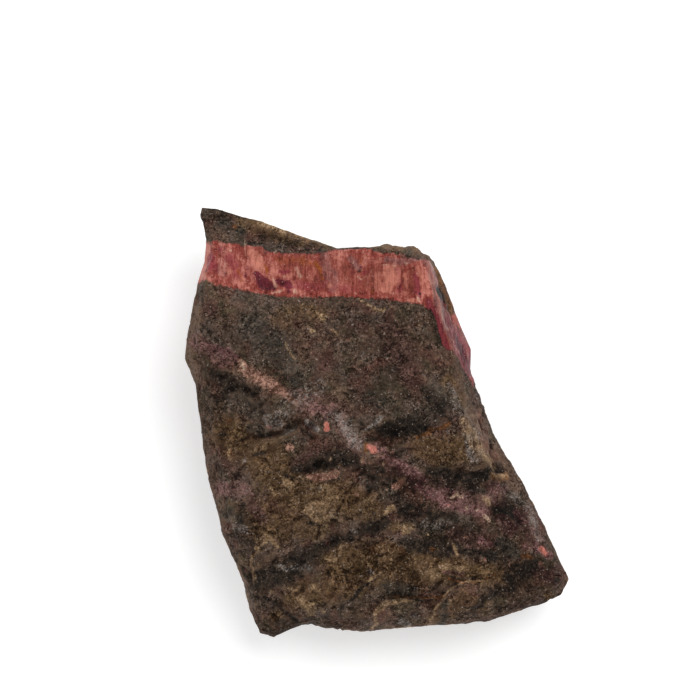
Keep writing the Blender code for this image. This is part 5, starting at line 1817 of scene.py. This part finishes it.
@dataclass
class RhodoniteStone:
    """The stone itself: its mesh, its marks and its two materials."""

    shape: StoneShape
    skin: BrokenSkin
    marks: Marks
    wall_rock: WallRock = WallRock()
    pink_vein: PinkVein = PinkVein()
    relief_rounds: tuple[int, int] = (10, 50)  # of smoothing, to tell fine and wide ridges from hollows
    relief_span: tuple[float, float] = (0.1, 0.32)  # height over each that counts as a full ridge
    vein_margin: float = 1.2  # how far outside the vein's walls its material still reaches

    def _numbers(self, surface: ClosedSurface, rim: Array) -> dict[str, Array]:
        """What the materials need to know of each point.

        Args:
            surface: The finished surface.
            rim: The rim's loop of rows.

        Returns:
            One value for each point, by the attribute's name: its depth in the vein, whether the rock is
            flaky, how far it stands over the smoothed surface, and every mark.
        """
        points, normals = surface.points, surface.normals()
        flaky = 1.0 - self.skin.main_face(points, normals)
        numbers = {"vein_depth": self.skin.vein.depth(points), "flaky": flaky}
        smoothed = surface
        for name, rounds, span in zip(("relief", "relief_wide"), self.relief_rounds, self.relief_span):
            smoothed = ClosedSurface(smoothed.smoothed(rounds), surface.quads, surface.triangles)
            numbers[name] = ((points - smoothed.points) * normals).sum(axis=1) / span
        away, rim_height = rim_distance(points, rim)
        covers = self.marks.covers(points, rim_height, away, self.shape.form.patches)
        return numbers | {kind.value: cover for kind, cover in covers.items()}

    def mesh(self) -> bpy.types.Object:
        """The piece with its attributes and materials.

        Returns:
            The object, in metres in the frame's own place.
        """
        rim = self.shape.rim.loop(*self.shape.cells)
        surface = self.skin.applied(self.shape.surface(), rim)
        numbers = self._numbers(surface, rim)
        placed = (surface.points - [*self.shape.rim.middle(), 0.0]) * MM
        mesh = bpy.data.meshes.new("stone")
        mesh.from_pydata(placed.tolist(), [], [*surface.quads.tolist(), *surface.triangles.tolist()])
        for name, value in numbers.items():
            attribute = mesh.attributes.new(name, "FLOAT", "POINT")
            attribute.data.foreach_set("value", value.astype(np.float32))
        fibres = self.skin.vein.fibre_place(surface.points).astype(np.float32)
        attribute = mesh.attributes.new("fibre_place", "FLOAT_VECTOR", "POINT")
        attribute.data.foreach_set("vector", fibres.ravel())
        mesh.shade_smooth()
        self._dress(mesh, surface, numbers["vein_depth"])
        piece = bpy.data.objects.new("stone", mesh)
        bpy.context.scene.collection.objects.link(piece)
        return piece

    def _dress(self, mesh: bpy.types.Mesh, surface: ClosedSurface, vein_depth: Array) -> None:
        """Gives faces in or beside the vein the vein's material, and the others the wall rock's.

        Args:
            mesh: The mesh.
            surface: The surface that it was made from.
            vein_depth: How deep in the vein each point lies.
        """
        textures = Textures()
        rock = self.wall_rock.group(textures)
        mesh.materials.append(self.wall_rock.material(rock))
        mesh.materials.append(self.pink_vein.material(rock, textures))
        deepest = [vein_depth[faces].max(axis=1) for faces in (surface.quads, surface.triangles)]
        in_vein = (np.concatenate(deepest) > -self.vein_margin).astype(np.int32)
        mesh.polygons.foreach_set("material_index", in_vein)

    def build(self) -> bpy.types.Object:
        """The finished piece, riding on the body in place of the frame's solid.

        Returns:
            The object.
        """
        piece = self.mesh()
        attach(piece, BODY)
        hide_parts(NODE)
        return piece


@dataclass
class Studio:
    """The plain pale floor, the soft light from the north-east and the camera. Lengths are metres."""

    elevation: float = 78.5  # the camera's angle over the horizon, in degrees
    distance: float = 0.7  # from the camera to the point that it looks at
    view_angle: float = 9.4546
    look_at: tuple[float, float] = (-4.34, 13.89)  # what it looks at, in millimetres of the stone's plan
    clip_start: float = 0.05
    floor_half: float = 1.5
    floor_colour: float = 0.74
    floor_glow: float = 0.44
    sky_strength: float = 0.72
    key_place: Triple = (0.24, 0.17, 0.75)
    key_size: float = 0.5
    key_power: float = 2.9

    def build(self, middle: Array) -> None:
        """Makes all three.

        Args:
            middle: Middle of the stone's box in the plan.
        """
        self._floor()
        self._lights()
        self._camera(middle)

    def _floor(self) -> None:
        """A flat sheet, which isn't part of the object."""
        half = self.floor_half
        mesh = bpy.data.meshes.new("floor")
        corners = [(-half, -half, 0.0), (half, -half, 0.0), (half, half, 0.0), (-half, half, 0.0)]
        mesh.from_pydata(corners, [], [(0, 1, 2, 3)])
        material, bench, shader = new_material("white_floor", 0.0)
        colour = (*[self.floor_colour] * 3, 1.0)
        bench.fed(shader, {"Base Color": colour, "Roughness": 1.0, "Emission Color": WHITE,
                           "Emission Strength": self.floor_glow})
        mesh.materials.append(material)
        floor = bpy.data.objects.new("floor", mesh)
        bpy.context.scene.collection.objects.link(floor)

    def _lights(self) -> None:
        """An even sky, and one large disc of light above the north-east."""
        world = bpy.data.worlds.new("sky")
        world.use_nodes = True
        sky = world.node_tree.nodes["Background"]
        sky.inputs["Color"].default_value = WHITE
        sky.inputs["Strength"].default_value = self.sky_strength
        bpy.context.scene.world = world
        light = bpy.data.lights.new("key", "AREA")
        light.shape = "DISK"
        light.size = self.key_size
        light.energy = self.key_power
        key = bpy.data.objects.new("key", light)
        key.location = self.key_place
        away = np.array(self.key_place)
        away = away / np.linalg.norm(away)
        key.rotation_euler = (np.arccos(away[2]), 0.0, np.arctan2(away[1], away[0]) + np.pi / 2)
        bpy.context.scene.collection.objects.link(key)

    def _camera(self, middle: Array) -> None:
        """Looks from the south, steeply down.

        Args:
            middle: Middle of the stone's box in the plan.
        """
        camera = bpy.data.cameras.new("camera")
        camera.angle = np.radians(self.view_angle)
        camera.clip_start = self.clip_start
        holder = bpy.data.objects.new("camera", camera)
        rise = np.radians(self.elevation)
        x, y = (np.array(self.look_at) - middle) * MM
        holder.location = (x, y - self.distance * np.cos(rise), self.distance * np.sin(rise))
        holder.rotation_euler = (np.pi / 2 - rise, 0.0, 0.0)
        bpy.context.scene.collection.objects.link(holder)
        bpy.context.scene.camera = holder


def main() -> None:
    logging.basicConfig(level=logging.INFO, format="%(message)s")
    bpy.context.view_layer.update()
    bpy.context.scene.view_settings.view_transform = "Standard"
    shape = StoneShape()
    Studio().build(shape.rim.middle())
    log.info("studio: floor, sky, key light and camera")
    piece = RhodoniteStone(shape, BrokenSkin(), Marks()).build()
    log.info("%s: %d faces", piece.name, len(piece.data.polygons))
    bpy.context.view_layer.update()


if __name__ == "__main__":
    main()
